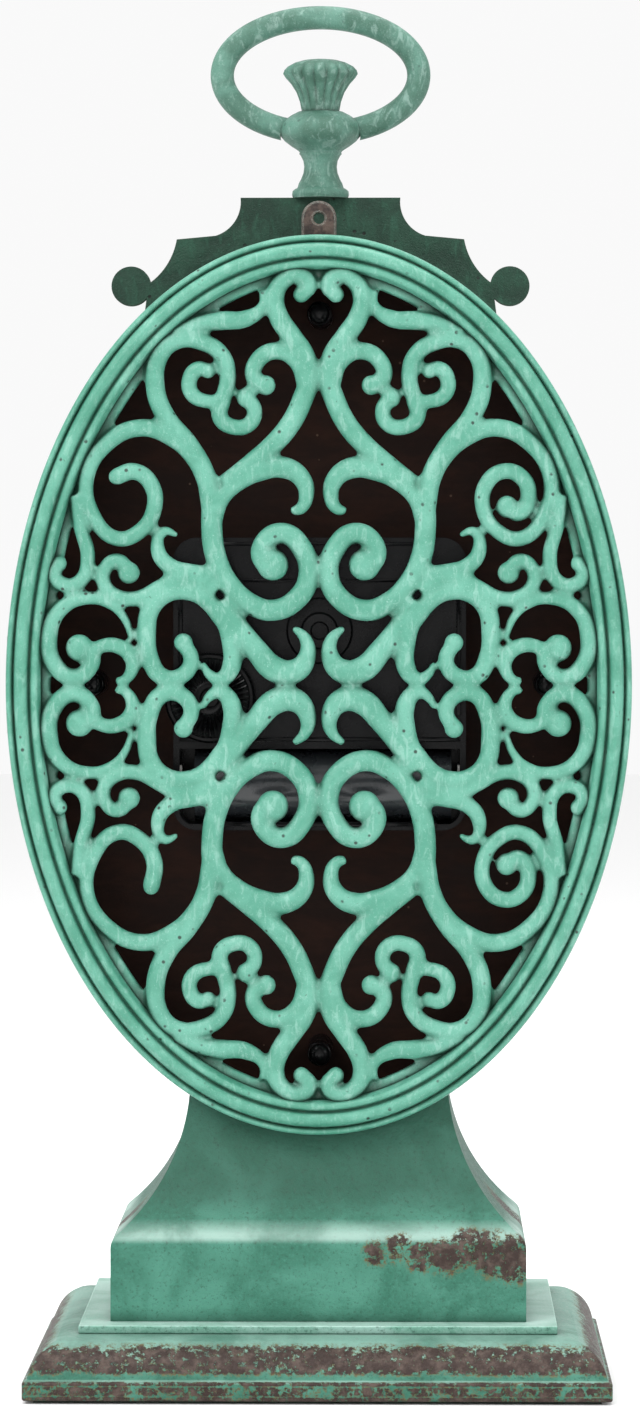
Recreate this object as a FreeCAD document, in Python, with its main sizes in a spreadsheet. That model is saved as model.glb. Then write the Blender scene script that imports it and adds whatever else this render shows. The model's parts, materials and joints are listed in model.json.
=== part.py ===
import FreeCAD, Part
import math
import os
import re

import Sketcher

# Table clock in the form of a pocket watch on a pedestal.
# Origin at the centre of the underside, +Z up, +X to the right of someone looking at the back of the clock.
# -Y is the back, with the fretted cover, and +Y is the front, with the dial.

V = FreeCAD.Vector
X_AXIS = V(1, 0, 0)
Y_AXIS = V(0, 1, 0)
Z_AXIS = V(0, 0, 1)
# The circular primitives stand along their own Z, and these turns lay them along the clock's axes.
ALONG_X = FreeCAD.Rotation(Y_AXIS, 90)
ALONG_Y = FreeCAD.Rotation(X_AXIS, -90)
ALONG_Z = FreeCAD.Rotation()
# An ellipse has its long radius along its own X: this turn stands it up, facing along Y.
OVAL_TURN = FreeCAD.Rotation(V(1, 1, 1), -120)

doc = FreeCAD.newDocument("TableClock")

# ---------------------------------------------------------------- driving dimensions, millimetres

SIZES = (
    ("felt_thick", 0.6, "felt sheet under the plinth"),
    ("plinth_width", 110.0, "plinth slab along X"),
    ("plinth_depth", 90.0, "plinth slab along Y"),
    ("slab_thick", 3.5, "straight edge of the plinth"),
    ("moulding_rise", 7.7, "height of the ovolo above the slab"),
    ("moulding_inset", 9.4, "how far the ovolo runs in, each side"),
    ("moulding_step", 0.8, "ledge between slab edge and ovolo"),
    ("felt_inset", 2.0, "felt edge inside the slab edge"),
    ("plate_lap", 0.2, "how far the thin plate passes the top of the ovolo"),
    ("plate_thick", 1.6, ""),
    ("plate_margin", 5.75, "plate left showing round the pedestal"),
    ("block_rise", 13.8, "straight part of the pedestal"),
    ("shoulder_round", 3.2, "round over the block"),
    ("neck_width", 49.0, "pedestal neck along X"),
    ("neck_depth", 38.0, "pedestal neck along Y"),
    ("pedestal_rise", 37.0, "from plate to the lowest point of the case"),
    ("neck_reach", 8.5, "how far the neck's corners rise beside the case"),
    ("bolt_radius", 2.0, "bolt from the plinth up into the pedestal"),
    ("bolt_length", 24.0, ""),
    ("bolt_head_radius", 3.6, ""),
    ("bolt_head_thick", 2.4, ""),
    ("drum_half_width", 57.1, "outside of the oval case band"),
    ("drum_half_height", 83.0, ""),
    ("band_wall", 1.2, ""),
    ("band_back", 21.3, "rear rim of the band, behind the origin plane"),
    ("band_front", 17.0, "front rim of the band"),
    ("ring_lap", 2.1, "how far the cover's moulded ring passes the band"),
    ("ring_width", 6.6, "width of the moulded ring"),
    ("ring_thick", 6.0, ""),
    ("cover_gap", 0.2, "between the cover and the band"),
    ("rebate_width", 1.0, "rebate in the ring that takes the grille's rim"),
    ("rim_thick", 2.0, "the grille's flat rim"),
    ("rim_width", 1.9, ""),
    ("scroll_thick", 3.2, "cast scrollwork"),
    ("scroll_setback", 0.7, "scrollwork below the face of the ring"),
    ("fit_gap", 0.1, "between parts that drop into each other"),
    ("running_gap", 0.05, "radial clearance of turning parts"),
    ("hinge_stand", 0.25, "between the band and the hinge knuckles"),
    ("knuckle_radius", 0.95, ""),
    ("hinge_pin_radius", 0.5, ""),
    ("cover_knuckle", 8.0, "length of the cover's knuckle"),
    ("case_knuckle", 5.0, "length of each case knuckle"),
    ("knuckle_gap", 0.2, "between knuckles"),
    ("leaf_thick", 0.8, ""),
    ("leaf_length", 7.0, "how far the case leaf runs along the band"),
    ("magnet_height", 8.0, "magnetic catch"),
    ("magnet_depth", 5.0, ""),
    ("magnet_thick", 2.6, ""),
    ("strike_width", 4.0, ""),
    ("strike_thick", 0.9, "steel strike in the back of the ring"),
    ("post_inset_side", 13.7, "side posts inside the band"),
    ("post_inset_end", 12.4, "top and bottom posts inside the band"),
    ("sleeve_radius", 2.3, "plastic spacer sleeves"),
    ("sleeve_length", 18.0, ""),
    ("saddle_reach", 8.0, "saddle screws each side of the centre line"),
    ("screw_radius", 0.95, "long screws through the sleeves"),
    ("screw_head_radius", 2.0, ""),
    ("screw_head_thick", 1.6, ""),
    ("board_back", 3.0, "rear face of the backing board"),
    ("board_thick", 3.0, ""),
    ("board_gap", 1.5, "around the board, inside the band"),
    ("dial_radius", 40.0, "round dial"),
    ("dial_thick", 0.8, ""),
    ("arbor_rise", 10.2, "arbor above the centre of the case"),
    ("bezel_lap", 4.3, "how far the beaded front passes the band"),
    ("bezel_thick", 10.5, "front casting"),
    ("bezel_plate", 4.0, "its flat back plate"),
    ("bezel_rim", 5.0, "width of its raised rim"),
    ("dial_opening", 37.0, "radius of the round window"),
    ("window_rim", 4.5, "width of the raised ring round the window"),
    ("glass_thick", 1.6, ""),
    ("glass_ledge", 2.0, "how far the glass reaches past the window"),
    ("retainer_thick", 0.9, "ring that holds the glass"),
    ("boss_radius", 2.5, "screw bosses of the front casting"),
    ("crest_back", 1.5, "half the thickness of the crest plate"),
    ("crest_top_half", 15.4, "half width of the crest's top edge"),
    ("crest_top_rise", 10.5, "crest top above the band"),
    ("crest_step_half", 20.2, "foot of the scooped corners"),
    ("crest_step_drop", 7.3, ""),
    ("crest_point_half", 27.7, "outer points of the crest"),
    ("crest_lobe_half", 36.5, "round ears at the ends"),
    ("crest_lobe_drop", 17.0, "ears below the crest's top"),
    ("crest_lobe_radius", 3.8, ""),
    ("lug_half_width", 3.3, "hanging lug"),
    ("lug_thick", 2.0, ""),
    ("lug_hole_rise", 5.4, "hole above the top of the band"),
    ("lug_hole_radius", 1.05, ""),
    ("collar_radius", 5.4, "foot of the pendant"),
    ("pendant_neck_radius", 3.1, ""),
    ("bulb_radius", 7.9, ""),
    ("pendant_top_radius", 4.3, ""),
    ("pendant_rise", 16.6, "pendant from crest to crown"),
    ("bulb_rise", 12.3, "widest point of the bulb above the crest"),
    ("crown_foot_radius", 3.95, ""),
    ("crown_radius", 7.2, ""),
    ("crown_rise", 10.1, ""),
    ("crown_flutes", 16, ""),
    ("stud_radius", 1.0, "stud that joins pendant, crest and crown"),
    ("bow_half_width", 18.95, "centre line of the bow"),
    ("bow_half_height", 11.1, ""),
    ("bow_wire", 2.25, "radius of the bow's section"),
    ("movement_width", 56.0, "quartz movement, square"),
    ("movement_back", 12.0, "rear face of the movement, behind the origin plane"),
    ("movement_wall", 1.2, ""),
    ("movement_corner", 4.5, "round corners of the movement"),
    ("corner_wall", 0.9, "its wall at those corners"),
    ("movement_split", 3.0, "joint between the two movement shells, behind the origin plane"),
    ("bay_height", 16.8, "battery bay along the bottom of the movement"),
    ("cell_radius", 7.0, "AA cell"),
    ("cell_length", 49.2, ""),
    ("cell_shift", 0.6, "cell pushed from the spring towards the plate"),
    ("nub_radius", 2.7, "raised end of the cell"),
    ("nub_length", 1.0, ""),
    ("contact_thick", 0.4, "battery contacts"),
    ("contact_depth", 10.0, ""),
    ("contact_height", 8.0, ""),
    ("spring_radius", 3.0, "contact spring, as a plain cylinder"),
    ("spring_length", 1.9, ""),
    ("circuit_x", 13.0, "left side of the circuit board"),
    ("circuit_drop", 9.8, "its lower edge below the centre"),
    ("circuit_width", 12.5, ""),
    ("circuit_height", 16.0, ""),
    ("circuit_thick", 0.8, ""),
    ("chip_shift", 2.0, ""),
    ("chip_size", 4.5, ""),
    ("chip_thick", 1.0, ""),
    ("crystal_radius", 1.0, ""),
    ("crystal_length", 6.0, ""),
    ("stator_x", 8.8, "left side of the stator plate"),
    ("stator_back", 6.7, "its rear face, behind the origin plane"),
    ("stator_rise", 11.0, "its lower edge above the centre"),
    ("stator_width", 15.2, ""),
    ("stator_height", 12.4, ""),
    ("stator_thick", 0.6, ""),
    ("coil_shift", 0.7, ""),
    ("coil_drop", 1.4, "coil axis below the stator's upper edge"),
    ("coil_radius", 2.4, ""),
    ("coil_length", 14.0, ""),
    ("rotor_radius", 2.0, ""),
    ("rotor_hub_radius", 0.65, ""),
    ("train_module", 0.5, "minute and setting gears"),
    ("hour_module", 0.48, "hour gears"),
    ("fine_module", 0.25, "seconds gears"),
    ("cannon_teeth", 12, ""),
    ("idler_teeth", 36, ""),
    ("pinion_teeth", 10, ""),
    ("hour_teeth", 40, ""),
    ("knob_teeth", 14, ""),
    ("seconds_teeth", 48, ""),
    ("reducer_pinion_teeth", 8, ""),
    ("reducer_teeth", 40, ""),
    ("rotor_teeth", 8, ""),
    ("train_angle", 211.5, "from the arbor towards the setting knob, degrees"),
    ("second_arbor_radius", 0.4, ""),
    ("minute_tube_wall", 0.75, ""),
    ("hour_pipe_wall", 0.8, ""),
    ("bushing_wall", 1.6, "threaded bushing of the movement"),
    ("bushing_length", 6.3, "bushing in front of the board's rear face"),
    ("post_radius", 0.5, "moulded posts that carry the small wheels"),
    ("fine_post_radius", 0.3, "posts of the seconds wheels"),
    ("knob_radius", 8.6, "time-setting knob"),
    ("knob_thick", 3.6, ""),
    ("knob_stem_radius", 1.6, ""),
    ("nut_half_flats", 5.5, "hexagon nut on the bushing"),
    ("nut_thick", 1.5, ""),
    ("washer_thick", 0.5, ""),
    ("hour_hand_length", 23.0, ""),
    ("minute_hand_length", 33.0, ""),
    ("second_hand_length", 34.0, ""),
    ("hand_thick", 0.5, ""),
    ("hour_hand_front", 9.4, "rear face of the hour hand"),
    ("hand_step", 2.0, "from one hand to the next"),
)

sheet = doc.addObject("Spreadsheet::Sheet", "Sizes")
for row, (alias, value, note) in enumerate(SIZES, start=1):
    sheet.set("A%d" % row, str(value))
    sheet.setAlias("A%d" % row, alias)
    sheet.set("B%d" % row, note)

# Places that follow from the driving dimensions.
PLACES = (
    ("plate_width", "plinth_width - 2 * (moulding_step + moulding_inset - plate_lap)"),
    ("plate_depth", "plinth_depth - 2 * (moulding_step + moulding_inset - plate_lap)"),
    ("block_width", "plate_width - 2 * plate_margin"),
    ("block_depth", "plate_depth - 2 * plate_margin"),
    ("ring_half_width", "drum_half_width + ring_lap"),
    ("ring_half_height", "drum_half_height + ring_lap"),
    ("hinge_offset", "drum_half_width + hinge_stand + knuckle_radius"),
    ("post_half_width", "drum_half_width - post_inset_side"),
    ("post_half_height", "drum_half_height - post_inset_end"),
    ("bezel_half_width", "drum_half_width + bezel_lap"),
    ("bezel_half_height", "drum_half_height + bezel_lap"),
    ("plate_z", "felt_thick + slab_thick + moulding_rise"),
    ("pedestal_z", "plate_z + plate_thick"),
    ("block_top_z", "pedestal_z + block_rise"),
    ("drum_low_z", "pedestal_z + pedestal_rise"),
    ("neck_top_z", "drum_low_z + neck_reach"),
    ("centre_z", "drum_low_z + drum_half_height"),
    ("drum_top_z", "centre_z + drum_half_height"),
    ("crest_top_z", "drum_top_z + crest_top_rise"),
    ("crown_z", "crest_top_z + pendant_rise"),
    ("bow_z", "crest_top_z + bulb_rise + bow_half_height + 0.2"),
    ("arbor_z", "centre_z + arbor_rise"),
    ("cover_back", "band_back + cover_gap"),
    ("cover_face", "cover_back + ring_thick"),
    ("opening_half_width", "ring_half_width - ring_width"),
    ("opening_half_height", "ring_half_height - ring_width"),
    ("rim_half_width", "opening_half_width + rebate_width - fit_gap"),
    ("rim_half_height", "opening_half_height + rebate_width - fit_gap"),
    ("rim_face", "cover_back + rim_thick + 2 * fit_gap"),
    ("scroll_face", "cover_face - scroll_setback"),
    ("strike_x", "opening_half_width + rebate_width + 4 * fit_gap"),
    ("drum_inner_half_width", "drum_half_width - band_wall"),
    ("drum_inner_half_height", "drum_half_height - band_wall"),
    ("magnet_x", "drum_inner_half_width - magnet_thick"),
    ("saddle_head_z", "drum_low_z + band_wall + 1.5"),
    ("hinge_back", "band_back - knuckle_radius - 0.05"),
    ("dial_back", "board_back + board_thick"),
    ("dial_front", "dial_back + dial_thick"),
    ("nut_back", "dial_front + washer_thick"),
    ("glass_back", "band_front + retainer_thick + fit_gap"),
    ("glass_radius", "dial_opening + glass_ledge"),
    ("post_hole_radius", "screw_radius + running_gap"),
    ("cannon_radius", "second_arbor_radius + running_gap + minute_tube_wall"),
    ("hour_pipe_radius", "cannon_radius + running_gap + hour_pipe_wall"),
    ("bushing_bore", "hour_pipe_radius + running_gap"),
    ("bushing_radius", "bushing_bore + bushing_wall"),
    ("minute_hand_back", "hour_hand_front + hand_step"),
    ("second_hand_back", "minute_hand_back + hand_step"),
    ("hand_end", "second_hand_back + hand_thick"),
)

places = doc.addObject("Spreadsheet::Sheet", "Places")
SIZE_NAMES = [alias for alias, value, note in SIZES]
PLACE_NAMES = [alias for alias, formula in PLACES]


def link(text, own_sheet=False):
    """A formula of aliases as FreeCAD reads it, each alias with the name of its sheet."""

    def named(found):
        word = found.group(0)
        if word in SIZE_NAMES:
            return "Sizes." + word
        if word in PLACE_NAMES and not own_sheet:
            return "Places." + word
        return word

    return re.sub(r"[a-z_]+", named, text)


for row, (alias, formula) in enumerate(PLACES, start=1):
    places.set("A%d" % row, "=" + link(formula, own_sheet=True))
    places.setAlias("A%d" % row, alias)
    doc.recompute()


def val(alias):
    """The value of one cell, in millimetres, degrees or a count."""
    return float((places if alias in PLACE_NAMES else sheet).get(alias))


def bind(item, **formulas):
    """Ties properties of an object to formulas of aliases. A double underscore stands for a dot."""
    for name, text in formulas.items():
        item.setExpression(name.replace("__", "."), link(str(text)))
    return item


PIECES = []


def piece(item, label):
    """Names a finished sub-part, which is then written to its own file."""
    item.Label = label
    PIECES.append(item)
    return item


def place(item, x, y, z, turn=ALONG_Z):
    """Puts an object at three formulas, turned as given."""
    item.Placement = FreeCAD.Placement(V(0, 0, 0), turn)
    return bind(item, Placement__Base__x=x, Placement__Base__y=y, Placement__Base__z=z)


def box(x, y, z, length, width, height):
    """A box from its lowest corner."""
    item = doc.addObject("Part::Box", "Block")
    bind(item, Length=length, Width=width, Height=height)
    return place(item, x, y, z)


def rod(turn, x, y, z, radius, length):
    """A cylinder that starts at a point and runs along one axis."""
    item = doc.addObject("Part::Cylinder", "Rod")
    bind(item, Radius=radius, Height=length)
    return place(item, x, y, z, turn)


def oval(half_width, half_height, back, length):
    """A solid oval of the case's shape, from y = back, along +Y."""
    curve = doc.addObject("Part::Ellipse", "Oval")
    bind(curve, MajorRadius=half_height, MinorRadius=half_width)
    place(curve, "0", back, "centre_z", OVAL_TURN)
    item = doc.addObject("Part::Extrusion", "OvalBlock")
    item.Base = curve
    item.DirMode = "Custom"
    item.Dir = Y_AXIS
    item.Solid = True
    return bind(item, LengthFwd=length)


def cut(base, *tools):
    """Base with each tool taken away in turn."""
    for tool in tools:
        item = doc.addObject("Part::Cut", "Cut")
        item.Base = base
        item.Tool = tool
        base = item
    return base


def fuse(*shapes):
    """One solid from several that meet."""
    item = doc.addObject("Part::MultiFuse", "Fuse")
    item.Shapes = list(shapes)
    item.Refine = True
    return item


def common(*shapes):
    """What several solids share."""
    item = doc.addObject("Part::MultiCommon", "Common")
    item.Shapes = list(shapes)
    return item


def group(*shapes):
    """Separate solids of one kind, kept as one sub-part."""
    item = doc.addObject("Part::Compound", "Group")
    item.Links = list(shapes)
    return item


def shaped(shape):
    """A sub-part whose shape is set from the sheet by this file's own code."""
    item = doc.addObject("Part::Feature", "Shaped")
    item.Shape = shape
    return item


def sketch_on(body, plane, offset="0"):
    """A sketch on one of the body's own origin planes, moved along the plane's normal."""
    drawing = body.newObject("Sketcher::SketchObject", "Sketch")
    origin = [item for item in body.Origin.OriginFeatures if item.Role == plane][0]
    drawing.AttachmentSupport = [(origin, "")]
    drawing.MapMode = "FlatFace"
    bind(drawing, AttachmentOffset__Base__z=offset)
    return drawing


def rectangle(drawing, width, height):
    """A rectangle centred on the sketch's origin, held by its own constraints."""
    corners = [V(-9, -8, 0), V(9, -8, 0), V(9, 8, 0), V(-9, 8, 0)]
    for index in range(4):
        drawing.addGeometry(Part.LineSegment(corners[index], corners[(index + 1) % 4]))
    for index in range(4):
        drawing.addConstraint(Sketcher.Constraint("Coincident", index, 2, (index + 1) % 4, 1))
    for index in (0, 2):
        drawing.addConstraint(Sketcher.Constraint("Horizontal", index))
        drawing.addConstraint(Sketcher.Constraint("Vertical", index + 1))
    drawing.addConstraint(Sketcher.Constraint("Symmetric", 0, 1, 1, 2, -1, 1))
    across = drawing.addConstraint(Sketcher.Constraint("DistanceX", 0, 1, 0, 2, 18))
    upward = drawing.addConstraint(Sketcher.Constraint("DistanceY", 1, 1, 1, 2, 16))
    drawing.setExpression("Constraints[%d]" % across, link(width))
    drawing.setExpression("Constraints[%d]" % upward, link(height))


def circle(drawing, radius, x=None, z=None):
    """A circle in a sketch, on the origin or at a point given by two formulas."""
    index = drawing.addGeometry(Part.Circle(V(1, 1, 0), Z_AXIS, 5))
    size = drawing.addConstraint(Sketcher.Constraint("Radius", index, 5))
    drawing.setExpression("Constraints[%d]" % size, link(radius))
    if x is None:
        drawing.addConstraint(Sketcher.Constraint("Coincident", index, 3, -1, 1))
        return
    for word, formula in (("DistanceX", x), ("DistanceY", z)):
        held = drawing.addConstraint(Sketcher.Constraint(word, -1, 1, index, 3, 1))
        drawing.setExpression("Constraints[%d]" % held, link(formula))


def pad(body, drawing, length):
    """The solid raised from a sketch, along the sketch's normal."""
    item = body.newObject("PartDesign::Pad", "Pad")
    item.Profile = drawing
    drawing.Visibility = False
    return bind(item, Length=length)


def wire_face(edges):
    """A flat face bounded by edges that join end to end."""
    return Part.Face(Part.Wire(Part.__sortEdges__(edges)))


def segment(start, end):
    return Part.LineSegment(start, end).toShape()


def arc(start, middle, end):
    return Part.Arc(start, middle, end).toShape()


def arc_about(centre, radius, first, last, point):
    """An arc about a centre between two angles in degrees, its points made by point(u, v)."""
    ends = []
    for angle in (first, (first + last) / 2, last):
        turn = math.radians(angle)
        ends.append(point(centre[0] + radius * math.cos(turn), centre[1] + radius * math.sin(turn)))
    return arc(*ends)


# ---------------------------------------------------------------- base

def profile_block(half_profile, half_x, half_y):
    """A block whose front and side outlines are the same kind of profile.

    half_profile(half, point) gives the right-hand edges of an outline, from bottom to top.
    """

    def outline(half, point, mirrored):
        right, low, high = half_profile(half, point)
        left, other_low, other_high = half_profile(half, mirrored)
        return wire_face(right + left + [segment(low, other_low), segment(high, other_high)])

    deep = 200.0
    face = outline(half_x, lambda u, w: V(u, -deep, w), lambda u, w: V(-u, -deep, w))
    side = outline(half_y, lambda u, w: V(-deep, u, w), lambda u, w: V(-deep, -u, w))
    across = face.extrude(V(0, 2 * deep, 0))
    along = side.extrude(V(2 * deep, 0, 0))
    return across.common(along)


def plinth_edges(half, point):
    """Slab edge, ledge and ovolo of the plinth."""
    low = val("felt_thick")
    ledge = low + val("slab_thick")
    top = val("plate_z")
    outer = half - val("moulding_step")
    inner = half - val("moulding_inset")
    run = outer - inner
    rise = top - ledge
    # The ovolo bulges past the straight line between its ends by about a fifth of its run.
    bulge = point(outer - 0.26 * run, ledge + 0.62 * rise)
    edges = [
        segment(point(half, low), point(half, ledge)),
        segment(point(half, ledge), point(outer, ledge)),
        arc(point(outer, ledge), bulge, point(inner, top)),
    ]
    return edges, point(half, low), point(inner, top)


def pedestal_edges(half_block, half_neck):
    """The pedestal's outline: straight block, round shoulder and a hollow sweep up to the neck."""

    def edges_of(half, point):
        low = val("pedestal_z")
        block = val("block_top_z")
        top = val("neck_top_z")
        small = val("shoulder_round")
        inward = half_block - half_neck
        rise = top - block
        reach = (inward * inward + rise * rise) / (2 * inward)
        large = reach - small
        lean = math.degrees(math.atan2(rise, half_neck + large - half_block + small))
        shoulder = arc_about((half_block - small, block), small, 0, lean, point)
        hollow = arc_about((half_neck + large, top), large, 180 + lean, 180, point)
        start = point(half_block, low)
        edges = [segment(start, point(half_block, block)), shoulder, hollow]
        return edges, start, point(half_neck, top)

    return edges_of


def make_base():
    felt = doc.addObject("PartDesign::Body", "Felt")
    drawing = sketch_on(felt, "XY_Plane")
    rectangle(drawing, "plinth_width - 2 * felt_inset", "plinth_depth - 2 * felt_inset")
    pad(felt, drawing, "felt_thick")
    piece(felt, "base_felt")

    solid = profile_block(plinth_edges, val("plinth_width") / 2, val("plinth_depth") / 2)
    bolt_way = rod(ALONG_Z, "0", "0", "0", "bolt_radius + fit_gap", "pedestal_z")
    head_way = rod(
        ALONG_Z, "0", "0", "0", "bolt_head_radius + 4 * fit_gap", "felt_thick + bolt_head_thick + fit_gap"
    )
    piece(cut(shaped(solid), bolt_way, head_way), "plinth")

    plate = doc.addObject("PartDesign::Body", "Plate")
    drawing = sketch_on(plate, "XY_Plane", "plate_z")
    rectangle(drawing, "plate_width", "plate_depth")
    circle(drawing, "bolt_radius + fit_gap")
    pad(plate, drawing, "plate_thick")
    piece(plate, "plinth_top_plate")

    wide = pedestal_edges(val("block_width") / 2, val("neck_width") / 2)
    deep = pedestal_edges(val("block_depth") / 2, val("neck_depth") / 2)

    def chosen(half, point):
        return wide(half, point) if half > val("block_depth") / 2 else deep(half, point)

    solid = profile_block(chosen, val("block_width") / 2, val("block_depth") / 2)
    drum = oval("drum_half_width", "drum_half_height", "-60", "120")
    bezel_way = oval(
        "bezel_half_width + fit_gap", "bezel_half_height + fit_gap", "band_front - fit_gap", "block_depth"
    )
    thread = rod(ALONG_Z, "0", "0", "0", "bolt_radius + running_gap", "felt_thick + bolt_length + 1")
    saddle_holes = [
        rod(ALONG_Z, x, "0", "drum_low_z - 9", "screw_radius + running_gap", "12")
        for x in ("-saddle_reach", "saddle_reach")
    ]
    piece(cut(shaped(solid), drum, bezel_way, thread, *saddle_holes), "pedestal")

    head = rod(
        ALONG_Z, "0", "0", "felt_thick + fit_gap", "bolt_head_radius", "bolt_head_thick"
    )
    shank = rod(
        ALONG_Z, "0", "0", "felt_thick + bolt_head_thick", "bolt_radius", "bolt_length - bolt_head_thick"
    )
    piece(fuse(head, shank), "pedestal_bolt")


# ---------------------------------------------------------------- case

def make_case():
    length = "band_back + band_front"
    shell = oval("drum_half_width", "drum_half_height", "-band_back", length)
    hollow = oval("drum_inner_half_width", "drum_inner_half_height", "-band_back - 1", length + " + 2")
    holes = [
        rod(ALONG_Z, x, "0", "drum_low_z - 1", "screw_radius + running_gap", "5")
        for x in ("-saddle_reach", "saddle_reach")
    ]
    holes.append(rod(ALONG_Z, "0", "0", "drum_top_z - 4", "stud_radius + running_gap", "6"))
    piece(cut(shell, hollow, *holes), "case_band")

    screws = []
    for x in ("-saddle_reach", "saddle_reach"):
        shank = rod(ALONG_Z, x, "0", "drum_low_z - 7", "screw_radius", "band_wall + 9")
        head = rod(ALONG_Z, x, "0", "saddle_head_z", "screw_head_radius", "screw_head_thick")
        screws.append(fuse(shank, head))
    piece(group(*screws), "saddle_screws")

    board = oval(
        "drum_inner_half_width - board_gap",
        "drum_inner_half_height - board_gap",
        "board_back",
        "board_thick",
    )
    bushing_way = rod(
        ALONG_Y, "0", "board_back - 1", "arbor_z", "bushing_radius + 2 * fit_gap", "board_thick + 2"
    )
    piece(cut(board, bushing_way, *post_rods("board_back - 1", "post_hole_radius", "board_thick + 2")),
          "backing_board")

    sleeves = post_rods("board_back - sleeve_length", "sleeve_radius", "sleeve_length")
    bores = post_rods("board_back - sleeve_length - 1", "post_hole_radius", "sleeve_length + 2")
    piece(group(*[cut(sleeve, bore) for sleeve, bore in zip(sleeves, bores)]), "spacer_sleeves")
    heads = post_rods(
        "board_back - sleeve_length - screw_head_thick", "screw_head_radius", "screw_head_thick"
    )
    shanks = post_rods(
        "board_back - sleeve_length - 0.5", "screw_radius", "sleeve_length + 0.5 + band_front - board_back"
    )
    piece(group(*[fuse(head, shank) for head, shank in zip(heads, shanks)]), "post_screws")


def post_rods(back, radius, length):
    """One rod at each of the four posts: top, bottom, left and right."""
    spots = (
        ("0", "centre_z + post_half_height"),
        ("0", "centre_z - post_half_height"),
        ("-post_half_width", "centre_z"),
        ("post_half_width", "centre_z"),
    )
    return [rod(ALONG_Y, x, back, z, radius, length) for x, z in spots]


def make_crest():
    half = {name: val("crest_" + name) for name in ("top_half", "step_half", "point_half", "lobe_half")}
    top = val("crest_top_z")
    step = top - val("crest_step_drop")
    lobe_z = top - val("crest_lobe_drop")
    radius = val("crest_lobe_radius")
    back = -val("crest_back")
    low = lobe_z - 14.0

    def outline(side):
        def at(x, z):
            return V(side * x, back, z)

        throat = at(half["lobe_half"] - radius + 0.5, lobe_z + 0.4)
        scoop = at(half["top_half"] + 1.2, step + 2.6)
        hollow = at(half["point_half"] + 1.6, lobe_z + 4.6)
        foot = at(half["lobe_half"] - 1.5, low)
        edges = [
            arc(at(half["top_half"], top), scoop, at(half["step_half"], step)),
            segment(at(half["step_half"], step), at(half["point_half"], step - 0.7)),
            arc(at(half["point_half"], step - 0.7), hollow, throat),
            segment(throat, foot),
        ]
        return edges, at(half["top_half"], top), foot

    right, right_top, right_foot = outline(1)
    left, left_top, left_foot = outline(-1)
    face = wire_face(right + left + [segment(right_top, left_top), segment(right_foot, left_foot)])
    plate = face.extrude(V(0, 2 * val("crest_back"), 0))
    thick = 2 * val("crest_back")
    for side in (-1, 1):
        centre = V(side * half["lobe_half"], back, lobe_z)
        plate = plate.fuse(Part.makeCylinder(radius, thick, centre, Y_AXIS))
    drum = oval("drum_half_width", "drum_half_height", "-30", "60")
    stud_way = rod(ALONG_Z, "0", "0", "drum_top_z - 2", "stud_radius + running_gap", "crest_top_rise + 4")
    piece(cut(shaped(plate.removeSplitter()), drum, stud_way), "crest_plate")

    stud_length = "crest_top_rise + pendant_rise + band_wall + 5.1"
    stud = rod(ALONG_Z, "0", "0", "drum_top_z - band_wall - 0.6", "stud_radius", stud_length)
    head = rod(ALONG_Z, "0", "0", "drum_top_z - band_wall - fit_gap - screw_head_thick",
               "screw_head_radius", "screw_head_thick")
    piece(fuse(stud, head), "pendant_stud")


def make_lug():
    back = "-band_back + 0.8"
    arch = rod(ALONG_Y, "0", back, "drum_top_z + lug_hole_rise", "lug_half_width", "lug_thick")
    strap = box("-lug_half_width", back, "drum_top_z - 1",
                "2 * lug_half_width", "lug_thick", "lug_hole_rise + 1")
    foot = box("-lug_half_width", back, "drum_top_z - 1", "2 * lug_half_width", "9", "2")
    hole = rod(
        ALONG_Y, "0", "-band_back - 3", "drum_top_z + lug_hole_rise", "lug_hole_radius", "lug_thick + 8"
    )
    drum = oval("drum_half_width", "drum_half_height", "-30", "60")
    piece(cut(fuse(arch, strap, foot), hole, drum), "hanging_lug")


def make_pendant():
    foot = val("crest_top_z")
    rise = val("pendant_rise")
    bulb = val("bulb_rise")
    collar = val("collar_radius")
    neck = val("pendant_neck_radius")
    top = val("pendant_top_radius")

    def at(radius, height):
        return V(radius, 0, foot + height)

    curve = Part.BSplineCurve()
    curve.interpolate(
        [
            at(collar - 0.4, 1.7),
            at(neck + 0.8, 3.2),
            at(neck, 0.42 * bulb),
            at(neck + 1.1, 0.6 * bulb),
            at(0.75 * val("bulb_radius"), 0.74 * bulb),
            at(val("bulb_radius"), bulb),
            at(0.8 * val("bulb_radius"), bulb + 0.6 * (rise - bulb)),
            at(top, rise),
        ]
    )
    edges = [
        segment(V(0, 0, foot), at(collar, 0)),
        segment(at(collar, 0), at(collar, 1.2)),
        segment(at(collar, 1.2), at(collar - 0.4, 1.7)),
        curve.toShape(),
        segment(at(top, rise), V(0, 0, foot + rise)),
        segment(V(0, 0, foot + rise), V(0, 0, foot)),
    ]
    solid = wire_face(edges).revolve(V(0, 0, 0), Z_AXIS, 360)
    stud_way = rod(ALONG_Z, "0", "0", "crest_top_z - 1", "stud_radius + running_gap", "pendant_rise + 2")
    piece(cut(shaped(solid), stud_way), "pendant")

    # The bow is an oval loop of round wire whose two ends stop inside the bulb, beside the stud.
    loop = Part.Ellipse(V(0, 0, 0), val("bow_half_width"), val("bow_half_height"))
    shy = math.asin(3.5 * val("stud_radius") / val("bow_half_width"))
    first, last = shy - math.pi / 2, 1.5 * math.pi - shy
    path = Part.Wire(loop.toShape(first, last))
    section = Part.Circle(loop.value(first), loop.tangent(first)[0], val("bow_wire"))
    ring = path.makePipeShell([Part.Wire(section.toShape())], True, False)
    ring.rotate(V(0, 0, 0), X_AXIS, 90)
    ring.translate(V(0, 0, val("bow_z")))
    bulb_piece = PIECES[-1]
    piece(cut(shaped(ring), bulb_piece), "bow_ring")


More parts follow.
